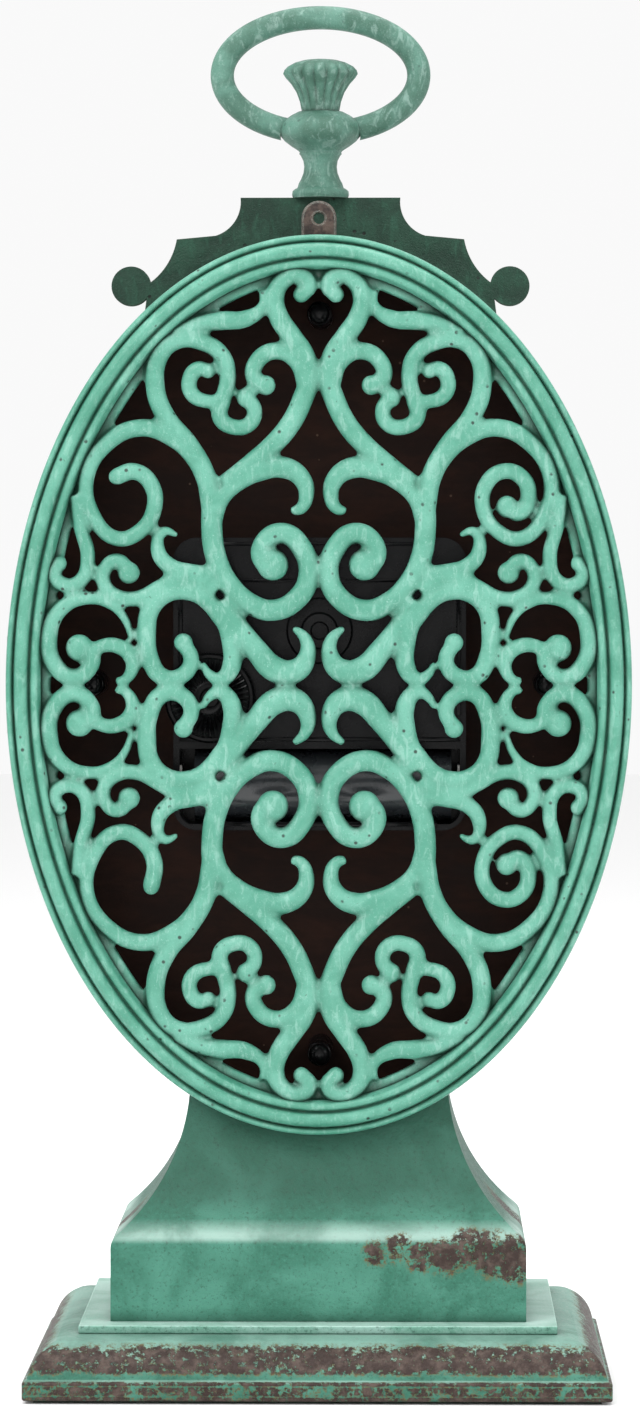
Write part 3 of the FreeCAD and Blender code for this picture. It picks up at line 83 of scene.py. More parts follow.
class Socket(Enum):
    """Sockets of the surface shader that the finishes set."""

    COLOUR = "Base Color"
    ROUGH = "Roughness"
    METAL = "Metallic"
    COAT = "Coat Weight"
    COAT_ROUGH = "Coat Roughness"
    NORMAL = "Normal"
    CLEAR = "Transmission Weight"
    IOR = "IOR"
    SPECULAR = "Specular IOR Level"
    SHEEN = "Sheen Weight"


# ---------------------------------------------------------------- finishes


class Recipe:
    """A node material under construction, read on object coordinates in metres."""

    def __init__(self, name: str) -> None:
        """Starts a material with one surface shader."""
        self.material = bpy.data.materials.new(name)
        self.material.use_nodes = True
        self.tree = self.material.node_tree
        self.tree.nodes.clear()
        self.shader = self.node("ShaderNodeBsdfPrincipled")
        output = self.node("ShaderNodeOutputMaterial")
        self.join(self.shader.outputs["BSDF"], output.inputs["Surface"])
        self.place = self.node("ShaderNodeTexCoord").outputs["Object"]

    def node(self, kind: str, **settings: object) -> bpy.types.Node:
        """Adds a node and sets its plain properties.

        Args:
            kind: the node's type name.
            **settings: properties such as an operation or a blend type.

        Returns:
            The new node.
        """
        made = self.tree.nodes.new(kind)
        for key, value in settings.items():
            setattr(made, key, value)
        return made

    def join(self, source: bpy.types.NodeSocket, target: bpy.types.NodeSocket) -> None:
        """Links an output to an input."""
        self.tree.links.new(source, target)

    def feed(self, target: bpy.types.NodeSocket, value: object) -> None:
        """Sets an input to a value, or links it where the value is another node's output."""
        if isinstance(value, bpy.types.NodeSocket):
            self.join(value, target)
        elif isinstance(value, tuple):
            target.default_value = (*value, 1.0) if len(target.default_value) == 4 else value
        else:
            target.default_value = value

    def set(self, socket: Socket, value: object) -> None:
        """Sets or links one socket of the surface shader."""
        self.feed(self.shader.inputs[socket.value], value)

    def noise(self, size_mm: float, detail: float = 4.0, rough: float = 0.55, warp: float = 0.0,
              stretch: Colour = (1.0, 1.0, 1.0)) -> bpy.types.NodeSocket:
        """Cloudy noise whose features are about size_mm across.

        Args:
            size_mm: size of the largest features.
            detail: number of finer layers.
            rough: weight of the finer layers.
            warp: how strongly the noise bends itself.
            stretch: multiplies the pattern's frequency along X, Y and Z.

        Returns:
            The noise value, from 0 to 1.
        """
        made = self.node("ShaderNodeTexNoise")
        where = self.place
        if stretch != (1.0, 1.0, 1.0):
            mapping = self.node("ShaderNodeMapping")
            self.join(self.place, mapping.inputs["Vector"])
            mapping.inputs["Scale"].default_value = stretch
            where = mapping.outputs["Vector"]
        self.join(where, made.inputs["Vector"])
        made.inputs["Scale"].default_value = 1.0 / (size_mm * MM)
        made.inputs["Detail"].default_value = detail
        made.inputs["Roughness"].default_value = rough
        made.inputs["Distortion"].default_value = warp
        return made.outputs["Fac"]

    def specks(self, size_mm: float, share: float) -> bpy.types.NodeSocket:
        """Small scattered flecks.

        Args:
            size_mm: spacing of the flecks.
            share: about how much of each cell a fleck fills.

        Returns:
            A mask that is 1 on a fleck.
        """
        cells = self.node("ShaderNodeTexVoronoi", feature="F1")
        self.join(self.place, cells.inputs["Vector"])
        cells.inputs["Scale"].default_value = 1.0 / (size_mm * MM)
        cells.inputs["Randomness"].default_value = 1.0
        return self.span(cells.outputs["Distance"], share, share * 0.55, 0.0, 1.0)

    def span(self, value: object, low: float, high: float, out_low: float = 0.0,
             out_high: float = 1.0) -> bpy.types.NodeSocket:
        """Maps low..high to out_low..out_high, held at both ends."""
        made = self.node("ShaderNodeMapRange", clamp=True, interpolation_type="SMOOTHSTEP")
        self.feed(made.inputs["Value"], value)
        made.inputs["From Min"].default_value = low
        made.inputs["From Max"].default_value = high
        made.inputs["To Min"].default_value = out_low
        made.inputs["To Max"].default_value = out_high
        if low > high:
            made.interpolation_type = "LINEAR"
        return made.outputs["Result"]

    def sum(self, kind: str, first: object, second: object = 0.0) -> bpy.types.NodeSocket:
        """One arithmetic step, such as MULTIPLY or ADD, held to 0..1."""
        made = self.node("ShaderNodeMath", operation=kind, use_clamp=True)
        self.feed(made.inputs[0], first)
        self.feed(made.inputs[1], second)
        return made.outputs["Value"]

    def blend(self, share: object, under: object, over: object, kind: str = "MIX") -> bpy.types.NodeSocket:
        """Mixes two colours."""
        made = self.node("ShaderNodeMix", data_type="RGBA", blend_type=kind)
        self.feed(made.inputs["Factor"], share)
        self.feed(made.inputs[6], under)
        self.feed(made.inputs[7], over)
        return made.outputs[2]

    def axis(self, letter: str) -> bpy.types.NodeSocket:
        """One coordinate of the place on the piece, in metres."""
        made = self.node("ShaderNodeSeparateXYZ")
        self.join(self.place, made.inputs["Vector"])
        return made.outputs[letter]

    def facing(self, letter: str) -> bpy.types.NodeSocket:
        """How far the surface faces along an axis of the object, from -1 to 1."""
        shape = self.node("ShaderNodeNewGeometry")
        turn = self.node("ShaderNodeVectorTransform", vector_type="NORMAL", convert_from="WORLD",
                         convert_to="OBJECT")
        self.join(shape.outputs["Normal"], turn.inputs["Vector"])
        made = self.node("ShaderNodeSeparateXYZ")
        self.join(turn.outputs["Vector"], made.inputs["Vector"])
        return made.outputs[letter]

    def edges(self, reach_mm: float, least: float = 0.02, full: float = 0.16) -> bpy.types.NodeSocket:
        """A mask that is 1 along edges and ridges.

        Args:
            reach_mm: how far from an edge the mask starts to rise.
            least: turn of the rounded surface where the mask starts.
            full: turn where the mask is full.

        Returns:
            The mask.
        """
        soft = self.node("ShaderNodeBevel", samples=6)
        soft.inputs["Radius"].default_value = reach_mm * MM
        shape = self.node("ShaderNodeNewGeometry")
        match = self.node("ShaderNodeVectorMath", operation="DOT_PRODUCT")
        self.join(soft.outputs["Normal"], match.inputs[0])
        self.join(shape.outputs["Normal"], match.inputs[1])
        return self.span(match.outputs["Value"], 1.0 - least, 1.0 - full, 0.0, 1.0)

    def shade_in_hollows(self, reach_mm: float, low: float = 0.45, high: float = 0.95) -> bpy.types.NodeSocket:
        """A mask that is 1 in grooves and corners, where painted shade is laid."""
        near = self.node("ShaderNodeAmbientOcclusion", samples=8, only_local=False)
        near.inputs["Distance"].default_value = reach_mm * MM
        return self.span(near.outputs["AO"], high, low, 0.0, 1.0)

    def bump(self, parts: Sequence[tuple[object, float]]) -> None:
        """Gives the surface relief from one or more heights.

        Args:
            parts: pairs of a height socket and its depth in mm.
        """
        under: object = None
        for height, depth in parts:
            made = self.node("ShaderNodeBump")
            made.inputs["Distance"].default_value = depth * MM
            made.inputs["Strength"].default_value = 1.0
            self.feed(made.inputs["Height"], height)
            if under is not None:
                self.join(under, made.inputs["Normal"])
            under = made.outputs["Normal"]
        self.set(Socket.NORMAL, under)


@dataclass(frozen=True)
class CastPaint:
    """Aged green paint on a casting: streaky body colour, pale ridges, painted shade in the hollows, flecks
    and grain.
    """

    name: str
    body: Colour
    deep: Colour
    pale: Colour
    # The hollow colour, with its share and reach below, paints shade into grooves and corners.
    hollow_shade: Colour = (0.012, 0.035, 0.022)
    worn: Colour = (0.36, 0.42, 0.28)
    speck: Colour = (0.006, 0.012, 0.008)
    pale_share: float = 0.3
    edge_share: float = 0.55
    hollow_shade_share: float = 0.85
    speck_share: float = 0.30
    hollow_shade_reach: float = 2.2
    edge_reach: float = 0.5
    rough: float = 0.42
    grain: float = 0.10
    specular: float = 0.5

    def paint(self) -> bpy.types.Material:
        """Returns the finished material."""
        mix = Recipe(self.name)
        cloud = mix.noise(9.0, 5.0, 0.6, 0.4)
        streak = mix.noise(1.6, 4.0, 0.65, 0.8, (1.0, 1.0, 0.35))
        fine = mix.noise(0.35, 3.0, 0.7)
        tone = mix.blend(mix.span(cloud, 0.36, 0.66), self.deep, self.body)
        tone = mix.blend(mix.sum("MULTIPLY", mix.span(streak, 0.50, 0.68), self.pale_share), tone, self.pale)
        tone = mix.blend(mix.sum("MULTIPLY", mix.span(fine, 0.58, 0.74), 0.45), tone, self.pale)
        tone = mix.blend(mix.sum("MULTIPLY", mix.span(fine, 0.42, 0.30), 0.40), tone, self.deep)
        edge = mix.sum("MULTIPLY", mix.edges(self.edge_reach), mix.span(streak, 0.40, 0.62))
        tone = mix.blend(mix.sum("MULTIPLY", edge, self.edge_share), tone, self.worn)
        # Painted shade: the hollow colour laid into grooves and corners by the occlusion mask.
        low = mix.sum("MULTIPLY", mix.shade_in_hollows(self.hollow_shade_reach), self.hollow_shade_share)
        tone = mix.blend(low, tone, self.hollow_shade)
        dots = mix.sum("MULTIPLY", mix.specks(2.6, 0.17), mix.span(cloud, 0.50, 0.58))
        cracks = mix.noise(0.8, 3.0, 0.6, 1.5)
        lines = mix.sum("MULTIPLY", mix.span(cracks, 0.66, 0.72), mix.span(cloud, 0.55, 0.62))
        marks = mix.sum("MULTIPLY", mix.sum("MAXIMUM", dots, lines), self.speck_share * 3.0)
        tone = mix.blend(marks, tone, self.speck)
        mix.set(Socket.COLOUR, tone)
        mix.set(Socket.SPECULAR, self.specular)
        mix.set(Socket.ROUGH, mix.span(streak, 0.3, 0.7, self.rough - 0.10, self.rough + 0.12))
        mix.bump([(cloud, 0.5), (fine, self.grain), (marks, -0.05)])
        return mix.material


@dataclass(frozen=True)
class WornBasePaint:
    """Speckled green paint of the base, rubbed through to purple brown metal in bands and patches, with
    painted shade in hollows and towards the top and a painted highlight on upward faces.
    """

    name: str
    body: Colour = (0.024, 0.135, 0.088)
    light: Colour = (0.060, 0.225, 0.160)
    dark: Colour = (0.008, 0.050, 0.030)
    bare: Colour = (0.026, 0.012, 0.0085)
    bare_light: Colour = (0.088, 0.060, 0.048)
    ochre: Colour = (0.115, 0.085, 0.030)
    # pale, pale_share and the row below paint a highlight on upward faces; shade sets where a painted shadow
    # darkens towards the top.
    pale: Colour = (0.42, 0.58, 0.52)
    pale_share: float = 0.0
    painted_highlight_row: tuple[float, float] = (0.0, 1.0)
    shade: tuple[float, float] = (1.0, 2.0)
    bands: tuple[tuple[float, float, float], ...] = ()
    patches: tuple[tuple[float, float, float, float, float], ...] = ()
    rough: float = 0.46

    def paint(self) -> bpy.types.Material:
        """Returns the finished material."""
        mix = Recipe(self.name)
        cloud = mix.noise(14.0, 5.0, 0.6, 0.5)
        blot = mix.noise(4.5, 7.0, 0.72, 0.6)
        fine = mix.noise(0.75, 4.0, 0.78)
        tone = mix.blend(mix.span(cloud, 0.38, 0.66), self.body, self.light)
        tone = mix.blend(mix.sum("MULTIPLY", mix.span(fine, 0.52, 0.68), 0.55), tone, self.light)
        tone = mix.blend(mix.sum("MULTIPLY", mix.span(fine, 0.46, 0.32), 0.75), tone, self.dark)
        # Painted shade: darker colour in grooves and corners.
        tone = mix.blend(mix.sum("MULTIPLY", mix.shade_in_hollows(3.0), 0.7), tone, self.dark)
        # Painted shadow: darker towards the top, over the heights set by shade, under the overhanging case.
        tone = mix.blend(mix.span(mix.axis("Z"), *self.shade, 0.0, 0.62), tone, self.dark)
        # Painted highlight: paler colour on upward faces within the highlight row, standing in for sheen.
        if self.pale_share:
            upward = mix.span(mix.facing("Z"), 0.22, 0.75)
            lit = mix.sum("MULTIPLY", upward, mix.span(cloud, 0.30, 0.58, 0.45, 1.0))
            lit = mix.sum("MULTIPLY", lit, self._row(mix, mix.axis("Z"), *self.painted_highlight_row, 1.0))
            tone = mix.blend(mix.sum("MULTIPLY", lit, self.pale_share), tone, self.pale)
        bare = self._bare(mix, blot)
        rim = mix.sum("SUBTRACT", mix.span(bare, 0.25, 0.5), mix.span(bare, 0.5, 0.75))
        metal = mix.blend(mix.span(mix.noise(2.4, 5.0, 0.7), 0.42, 0.68), self.bare, self.bare_light)
        tone = mix.blend(mix.sum("MULTIPLY", rim, mix.span(fine, 0.42, 0.55)), tone, self.ochre)
        tone = mix.blend(mix.span(bare, 0.44, 0.58), tone, metal)
        mix.set(Socket.COLOUR, tone)
        mix.set(Socket.SPECULAR, 0.35)
        mix.set(Socket.ROUGH, mix.span(fine, 0.3, 0.7, self.rough - 0.12, self.rough + 0.14))
        mix.bump([(blot, 0.25), (fine, 0.14), (mix.span(bare, 0.44, 0.58), -0.10)])
        return mix.material

    def _row(self, mix: Recipe, height: bpy.types.NodeSocket, middle: float, half: float,
             amount: float) -> bpy.types.NodeSocket:
        """A soft level band, from its middle height, half its height and its strength."""
        off = mix.node("ShaderNodeMath", operation="ABSOLUTE")
        shifted = mix.node("ShaderNodeMath", operation="SUBTRACT")
        mix.join(height, shifted.inputs[0])
        shifted.inputs[1].default_value = middle
        mix.join(shifted.outputs["Value"], off.inputs[0])
        return mix.span(off.outputs["Value"], half * 1.5, half * 0.5, 0.0, amount)

    def _bare(self, mix: Recipe, blot: bpy.types.NodeSocket) -> bpy.types.NodeSocket:
        """How far the paint is rubbed away, from the bands and the patches."""
        height = mix.axis("Z")
        total: object = 0.0
        for middle, half, amount in self.bands:
            total = mix.sum("MAXIMUM", self._row(mix, height, middle, half, amount), total)
        for x, y, z, reach, amount in self.patches:
            away = mix.node("ShaderNodeVectorMath", operation="DISTANCE")
            mix.join(mix.place, away.inputs[0])
            away.inputs[1].default_value = (x, y, z)
            near = mix.span(away.outputs["Value"], reach, reach * 0.35, 0.0, amount)
            total = mix.sum("MAXIMUM", near, total)
        total = mix.sum("MULTIPLY", total, mix.span(blot, 0.34, 0.56, 0.50, 1.0))
        grit = mix.noise(1.3, 5.0, 0.78)
        return mix.sum("MULTIPLY", total, mix.span(grit, 0.36, 0.54, 0.42, 1.0))


@dataclass(frozen=True)
class MouldedPlastic:
    """Injection moulded plastic with a slight orange peel and faint dust."""

    name: str
    tone: Colour
    rough: float = 0.16
    dust: float = 0.05
    coat: float = 0.3
    specular: float = 0.5

    def paint(self) -> bpy.types.Material:
        """Returns the finished material."""
        mix = Recipe(self.name)
        peel = mix.noise(1.1, 3.0, 0.5)
        film = mix.noise(6.0, 5.0, 0.6)
        grey = tuple(min(1.0, part + 0.10) for part in self.tone)
        mix.set(Socket.COLOUR, mix.blend(mix.span(film, 0.55, 0.8, 0.0, self.dust * 6), self.tone, grey))
        mix.set(Socket.ROUGH, mix.span(film, 0.35, 0.75, self.rough, self.rough + 0.22))
        mix.set(Socket.SPECULAR, self.specular)
        mix.set(Socket.COAT, self.coat)
        mix.set(Socket.COAT_ROUGH, 0.12)
        mix.bump([(peel, 0.03)])
        return mix.material


@dataclass(frozen=True)
class Metal:
    """Bare metal with fine brushing, tarnish and scratches."""

    name: str
    tone: Colour
    tarnish: Colour
    rough: float = 0.32

    def paint(self) -> bpy.types.Material:
        """Returns the finished material."""
        mix = Recipe(self.name)
        brush = mix.noise(0.5, 4.0, 0.6, 0.0, (1.0, 1.0, 0.08))
        cloud = mix.noise(5.0, 5.0, 0.6)
        mix.set(Socket.COLOUR, mix.blend(mix.span(cloud, 0.45, 0.72), self.tone, self.tarnish))
        mix.set(Socket.METAL, 1.0)
        mix.set(Socket.ROUGH, mix.span(brush, 0.3, 0.7, self.rough - 0.08, self.rough + 0.12))
        mix.bump([(brush, 0.02)])
        return mix.material


@dataclass(frozen=True)
class WornIron:
    """Brown iron with rubbed pale edges and dark pits."""

    name: str
    tone: Colour = (0.085, 0.055, 0.043)
    deep: Colour = (0.018, 0.010, 0.008)
    rim: Colour = (0.36, 0.40, 0.35)

    def paint(self) -> bpy.types.Material:
        """Returns the finished material."""
        mix = Recipe(self.name)
        blot = mix.noise(2.2, 6.0, 0.7)
        fine = mix.noise(0.4, 3.0, 0.7)
        tone = mix.blend(mix.span(blot, 0.35, 0.65), self.deep, self.tone)
        rubbed = mix.sum("MULTIPLY", mix.edges(0.7, 0.01, 0.10), mix.span(fine, 0.3, 0.55))
        tone = mix.blend(rubbed, tone, self.rim)
        mix.set(Socket.COLOUR, tone)
        mix.set(Socket.METAL, 0.25)
        mix.set(Socket.ROUGH, mix.span(fine, 0.3, 0.7, 0.4, 0.65))
        mix.bump([(blot, 0.2), (fine, 0.08)])
        return mix.material


@dataclass(frozen=True)
class FibreBoard:
    """Dark stained fibre board with faint long streaks."""

    name: str
    tone: Colour = (0.0180, 0.0078, 0.0055)
    light: Colour = (0.036, 0.0150, 0.0100)

    def paint(self) -> bpy.types.Material:
        """Returns the finished material."""
        mix = Recipe(self.name)
        streak = mix.noise(7.0, 6.0, 0.62, 0.3, (0.5, 1.0, 1.4))
        fine = mix.noise(0.5, 3.0, 0.7)
        tone = mix.blend(mix.span(streak, 0.35, 0.72), self.tone, self.light)
        tone = mix.blend(mix.sum("MULTIPLY", mix.specks(5.0, 0.06), 0.5), tone, (0.22, 0.14, 0.10))
        mix.set(Socket.COLOUR, tone)
        mix.set(Socket.SPECULAR, 0.12)
        mix.set(Socket.ROUGH, mix.span(streak, 0.3, 0.7, 0.42, 0.62))
        mix.bump([(streak, 0.10), (fine, 0.05)])
        return mix.material


@dataclass(frozen=True)
class Felt:
    """Matt wool felt."""

    name: str
    tone: Colour = (0.018, 0.032, 0.024)

    def paint(self) -> bpy.types.Material:
        """Returns the finished material."""
        mix = Recipe(self.name)
        fibre = mix.noise(0.5, 5.0, 0.8, 2.0)
        lighter = tuple(part * 2.4 for part in self.tone)
        mix.set(Socket.COLOUR, mix.blend(mix.span(fibre, 0.35, 0.7), self.tone, lighter))
        mix.set(Socket.ROUGH, 0.95)
        mix.set(Socket.SHEEN, 0.4)
        mix.bump([(fibre, 0.25)])
        return mix.material


@dataclass(frozen=True)
class DialCard:
    """Aged cream dial with faint foxing."""

    name: str
    tone: Colour = (0.74, 0.66, 0.48)
    age: Colour = (0.48, 0.36, 0.20)

    def paint(self) -> bpy.types.Material:
        """Returns the finished material."""
        mix = Recipe(self.name)
        cloud = mix.noise(12.0, 6.0, 0.65, 0.6)
        fine = mix.noise(0.6, 3.0, 0.7)
        tone = mix.blend(mix.span(cloud, 0.45, 0.8, 0.0, 0.6), self.tone, self.age)
        mix.set(Socket.COLOUR, mix.blend(mix.sum("MULTIPLY", mix.specks(4.0, 0.10), 0.35), tone, self.age))
        mix.set(Socket.ROUGH, mix.span(fine, 0.3, 0.7, 0.45, 0.6))
        mix.bump([(fine, 0.02)])
        return mix.material


@dataclass(frozen=True)
class ClearGlass:
    """Clear glass with a very slight ripple."""

    name: str

    def paint(self) -> bpy.types.Material:
        """Returns the finished material."""
        mix = Recipe(self.name)
        ripple = mix.noise(18.0, 2.0, 0.4)
        mix.set(Socket.COLOUR, (0.97, 0.99, 0.98))
        mix.set(Socket.ROUGH, 0.02)
        mix.set(Socket.CLEAR, 1.0)
        mix.set(Socket.IOR, 1.45)
        mix.bump([(ripple, 0.02)])
        return mix.material


@dataclass(frozen=True)
class Enamel:
    """Plain enamel or printed paint with a little variation."""

    name: str
    tone: Colour
    rough: float = 0.3

    def paint(self) -> bpy.types.Material:
        """Returns the finished material."""
        mix = Recipe(self.name)
        cloud = mix.noise(3.0, 4.0, 0.6)
        other = tuple(min(1.0, part * 1.5 + 0.01) for part in self.tone)
        mix.set(Socket.COLOUR, mix.blend(mix.span(cloud, 0.4, 0.7, 0.0, 0.6), self.tone, other))
        mix.set(Socket.ROUGH, mix.span(cloud, 0.3, 0.7, self.rough, self.rough + 0.15))
        mix.bump([(cloud, 0.02)])
        return mix.material


MINT = CastPaint(
    "mint_verdigris", body=(0.100, 0.330, 0.240), deep=(0.052, 0.240, 0.162), pale=(0.30, 0.54, 0.45),
    hollow_shade=(0.020, 0.075, 0.048), hollow_shade_share=0.70, hollow_shade_reach=1.3,
)
SCROLL_MINT = CastPaint(
    "scroll_verdigris", body=(0.115, 0.350, 0.262), deep=(0.062, 0.262, 0.182), pale=(0.38, 0.60, 0.53),
    worn=(0.30, 0.30, 0.20), edge_share=0.35, hollow_shade_share=0.92, hollow_shade_reach=2.8,
)
CASE_GREEN = CastPaint(
    "case_verdigris", body=(0.015, 0.055, 0.033), deep=(0.008, 0.030, 0.018), pale=(0.042, 0.130, 0.085),
    worn=(0.06, 0.055, 0.035), edge_share=0.5, hollow_shade_share=0.5, speck_share=0.5, rough=0.55, grain=0.16,
    specular=0.28,
)
PENDANT_GREY = CastPaint(
    "frosted_verdigris", body=(0.095, 0.225, 0.172), deep=(0.046, 0.125, 0.088), pale=(0.30, 0.44, 0.39),
    worn=(0.38, 0.47, 0.42), pale_share=0.45, edge_share=0.55, hollow_shade_share=0.75, hollow_shade_reach=1.6,
    speck_share=0.15, rough=0.5, grain=0.16, specular=0.4,
)
BEAD_MINT = CastPaint(
    "bead_verdigris", body=(0.10, 0.27, 0.20), deep=(0.04, 0.13, 0.09), pale=(0.30, 0.47, 0.41),
    hollow_shade_share=0.8,
)
BLACK_PLASTIC = MouldedPlastic("black_plastic", (0.0035, 0.0035, 0.0040), 0.20, 0.02, 0.08, 0.16)
ACETAL = MouldedPlastic("white_acetal", (0.72, 0.72, 0.67), 0.4, 0.02, 0.0)
CELL_WRAP = MouldedPlastic("cell_wrap", (0.030, 0.034, 0.038), 0.22, 0.03, 0.5)
CIRCUIT = MouldedPlastic("circuit_green", (0.012, 0.10, 0.035), 0.35, 0.02, 0.2)
STEEL = Metal("steel", (0.55, 0.55, 0.53), (0.30, 0.27, 0.23))
BRASS = Metal("brass", (0.72, 0.52, 0.24), (0.40, 0.26, 0.10))
COPPER = Metal("copper_wire", (0.74, 0.34, 0.17), (0.40, 0.15, 0.07))
MAGNET = Metal("magnet", (0.10, 0.10, 0.11), (0.05, 0.05, 0.055), 0.45)
IRON = WornIron("worn_iron")
BOARD = FibreBoard("fibre_board")
FELT = Felt("felt")
DIAL = DialCard("dial_card")
GLASS = ClearGlass("clear_glass")
BLACK_ENAMEL = Enamel("black_enamel", (0.012, 0.012, 0.013), 0.25)


# ---------------------------------------------------------------- making pieces


def outline_chain(bm: bmesh.types.BMesh, points: Sequence[tuple[float, float, float]],
                  closed: bool) -> list[bmesh.types.BMVert]:
    """Adds a chain of points joined by edges, ready to spin.

    Args:
        bm: the mesh to add to.
        points: places along the chain, in metres.
        closed: joins the last point to the first.

    Returns:
        The new vertices.
    """
    verts = [bm.verts.new(point) for point in points]
    for first, second in zip(verts, verts[1:]):
        bm.edges.new((first, second))
    if closed:
        bm.edges.new((verts[-1], verts[0]))
    return verts


def spun(points: Sequence[tuple[float, float, float]], axis: Vector, centre: Vector, steps: int,
         closed: bool = True) -> bmesh.types.BMesh:
    """Spins an outline all the way round an axis.

    Args:
        points: the outline, in metres.
        axis: direction of the axis.
        centre: a point on the axis.
        steps: number of steps round.
        closed: True where the outline is a closed loop; an open one ends on the axis.

    Returns:
        The spun mesh, with its normals outwards.
    """
    bm = bmesh.new()
    verts = outline_chain(bm, points, closed)
    edges = list(bm.edges)
    bmesh.ops.spin(bm, geom=verts + edges, cent=centre, axis=axis, angle=2 * math.pi, steps=steps,
                   use_merge=True)
    bmesh.ops.remove_doubles(bm, verts=bm.verts, dist=1e-6)
    bmesh.ops.recalc_face_normals(bm, faces=bm.faces)
    return bm


def bead_arc(start: float, end: float, base: float, rise: float, count: int = 7) -> list[tuple[float, float]]:
    """Points over one rounded bead of a moulding.

    Args:
        start: where the bead starts across the moulding, in mm.
        end: where it ends.
        base: height of its foot.
        rise: how far it stands up.
        count: number of points.

    Returns:
        Pairs of place across and height, in mm.
    """
    middle, half = (start + end) / 2, (end - start) / 2
    made = []
    for index in range(count):
        angle = math.pi * (1 - index / (count - 1))
        made.append((middle + half * math.cos(angle), base + rise * math.sin(angle)))
    return made


def absorb(bm: bmesh.types.BMesh, other: bmesh.types.BMesh) -> None:
    """Adds another mesh to bm and frees it.

    Args:
        bm: the mesh to add to.
        other: the mesh that is added.
    """
    spare = bpy.data.meshes.new("spare")
    other.to_mesh(spare)
    other.free()
    bm.from_mesh(spare)


def stood(name: str, data: bpy.types.ID) -> bpy.types.Object:
    """Puts a mesh, curve, light or camera into the scene as an object.

    Args:
        name: the object's name.
        data: what the object shows.

    Returns:
        The new object.
    """
    made = bpy.data.objects.new(name, data)
    bpy.context.collection.objects.link(made)
    return made


def baked(piece: bpy.types.Object, *helpers: bpy.types.Object) -> bmesh.types.BMesh:
    """Turns an object, with its modifiers, into a plain mesh.

    Args:
        piece: the object, which is removed.
        *helpers: other objects that it needed, removed as well.

    Returns:
        The mesh.
    """
    bpy.context.view_layer.update()
    graph = bpy.context.evaluated_depsgraph_get()
    mesh = bpy.data.meshes.new_from_object(piece.evaluated_get(graph))
    bm = bmesh.new()
    bm.from_mesh(mesh)
    for thing in (piece, *helpers):
        bpy.data.objects.remove(thing)
    return bm


@dataclass(frozen=True)
class Oval:
    """An oval in the plane of X and Z."""

    half_x: float
    half_z: float
    centre_z: float

    def spot(self, turn: float, out: float = 0.0) -> tuple[float, float]:
        """Returns X and Z at a turn round the oval, moved outwards square to it."""
        across, up = self.half_z * math.cos(turn), self.half_x * math.sin(turn)
        length = math.hypot(across, up)
        return (
            self.half_x * math.cos(turn) + out * across / length,
            self.centre_z + self.half_z * math.sin(turn) + out * up / length,
        )

    def moulding(self, section: Sequence[tuple[float, float]], steps: int = 240) -> bmesh.types.BMesh:
        """Runs a closed moulding section round the oval at a constant width.

        Args:
            section: pairs of distance outside the oval and Y, in metres.
            steps: number of steps round.

        Returns:
            The moulding's mesh.
        """
        radius = self.half_z
        bm = spun([(radius + out, y, 0.0) for out, y in section], Vector((0, 1, 0)), Vector(), steps)
        for vert in bm.verts:
            x, y, z = vert.co
            turn = math.atan2(z, x)
            across, up = self.spot(turn, math.hypot(x, z) - radius)
            vert.co = (across, y, up)
        bmesh.ops.recalc_face_normals(bm, faces=bm.faces)
        return bm

    def even_turns(self, count: int) -> list[float]:
        """Turns that are evenly spaced along the oval's length."""
        fine = 3600
        lengths = [0.0]
        last = self.spot(0.0)
        for index in range(1, fine + 1):
            here = self.spot(2 * math.pi * index / fine)
            lengths.append(lengths[-1] + math.dist(last, here))
            last = here
        turns, index = [], 0
        for bead in range(count):
            wanted = lengths[-1] * bead / count
            while lengths[index] < wanted:
                index += 1
            turns.append(2 * math.pi * index / fine)
        return turns


class Bench:
    """Turns meshes into pieces that ride on the clock, and dresses the frame's own nodes."""

    def __init__(self, frame: dict) -> None:
        """Keeps the loaded frame."""
        self.frame = frame
        self.nodes = {item["node"]: item["material_slot"] for item in frame["record"]["subparts"]}
        self.made: dict[str, bpy.types.Material] = {}

    def finish(self, recipe: object) -> bpy.types.Material:
        """Returns a finish's material, made once."""
        if recipe.name not in self.made:
            self.made[recipe.name] = recipe.paint()
        return self.made[recipe.name]

    def keep(self, bm: bmesh.types.BMesh, name: str, body: Body, recipe: object,
             replaces: Iterable[str] = (), crease: float = 40.0) -> bpy.types.Object:
        """Makes a piece from a mesh and puts it on a body.

        Args:
            bm: the finished mesh, which is freed.
            name: the piece's name.
            body: the body it rides on.
            recipe: the finish.
            replaces: frame nodes that the piece stands for.
            crease: edges sharper than this, in degrees, stay sharp.

        Returns:
            The new object.
        """
        mesh = bpy.data.meshes.new(name)
        bm.to_mesh(mesh)
        bm.free()
        mesh.shade_smooth()
        mesh.set_sharp_from_angle(angle=math.radians(crease))
        piece = stood(name, mesh)
        piece.data.materials.append(self.finish(recipe))
        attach(piece, body.value)
        if replaces:
            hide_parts(*replaces)
        LOG.info("%s: %d faces on %s", name, len(mesh.polygons), body.value)
        return piece

    def node_copy(self, node: str) -> bmesh.types.BMesh:
        """Returns a merged copy of a frame node's mesh."""
        bm = bmesh.new()
        bm.from_mesh(self.frame["nodes"][node].data)
        bmesh.ops.remove_doubles(bm, verts=bm.verts, dist=2e-6)
        bmesh.ops.dissolve_limit(bm, angle_limit=math.radians(0.8), verts=bm.verts, edges=bm.edges)
        return bm

    def soften(self, piece: bpy.types.Object, radius_mm: float, angle: float = 32.0) -> None:
        """Rounds a piece's sharp edges."""
        rounding = piece.modifiers.new("rounded_edges", "BEVEL")
        rounding.width = radius_mm * MM
        rounding.segments = 3
        rounding.limit_method = "ANGLE"
        rounding.angle_limit = math.radians(angle)
        rounding.harden_normals = False
        rounding.use_clamp_overlap = True

    def dress(self, recipe: object, *nodes: str) -> None:
        """Gives a finish to frame nodes that keep their own shape."""
        material = self.finish(recipe)
        for name in nodes:
            node = self.frame["nodes"][name]
            node.data.materials.clear()
            node.data.materials.append(material)
            LOG.info("%s: dressed with %s", name, recipe.name)


# ---------------------------------------------------------------- base


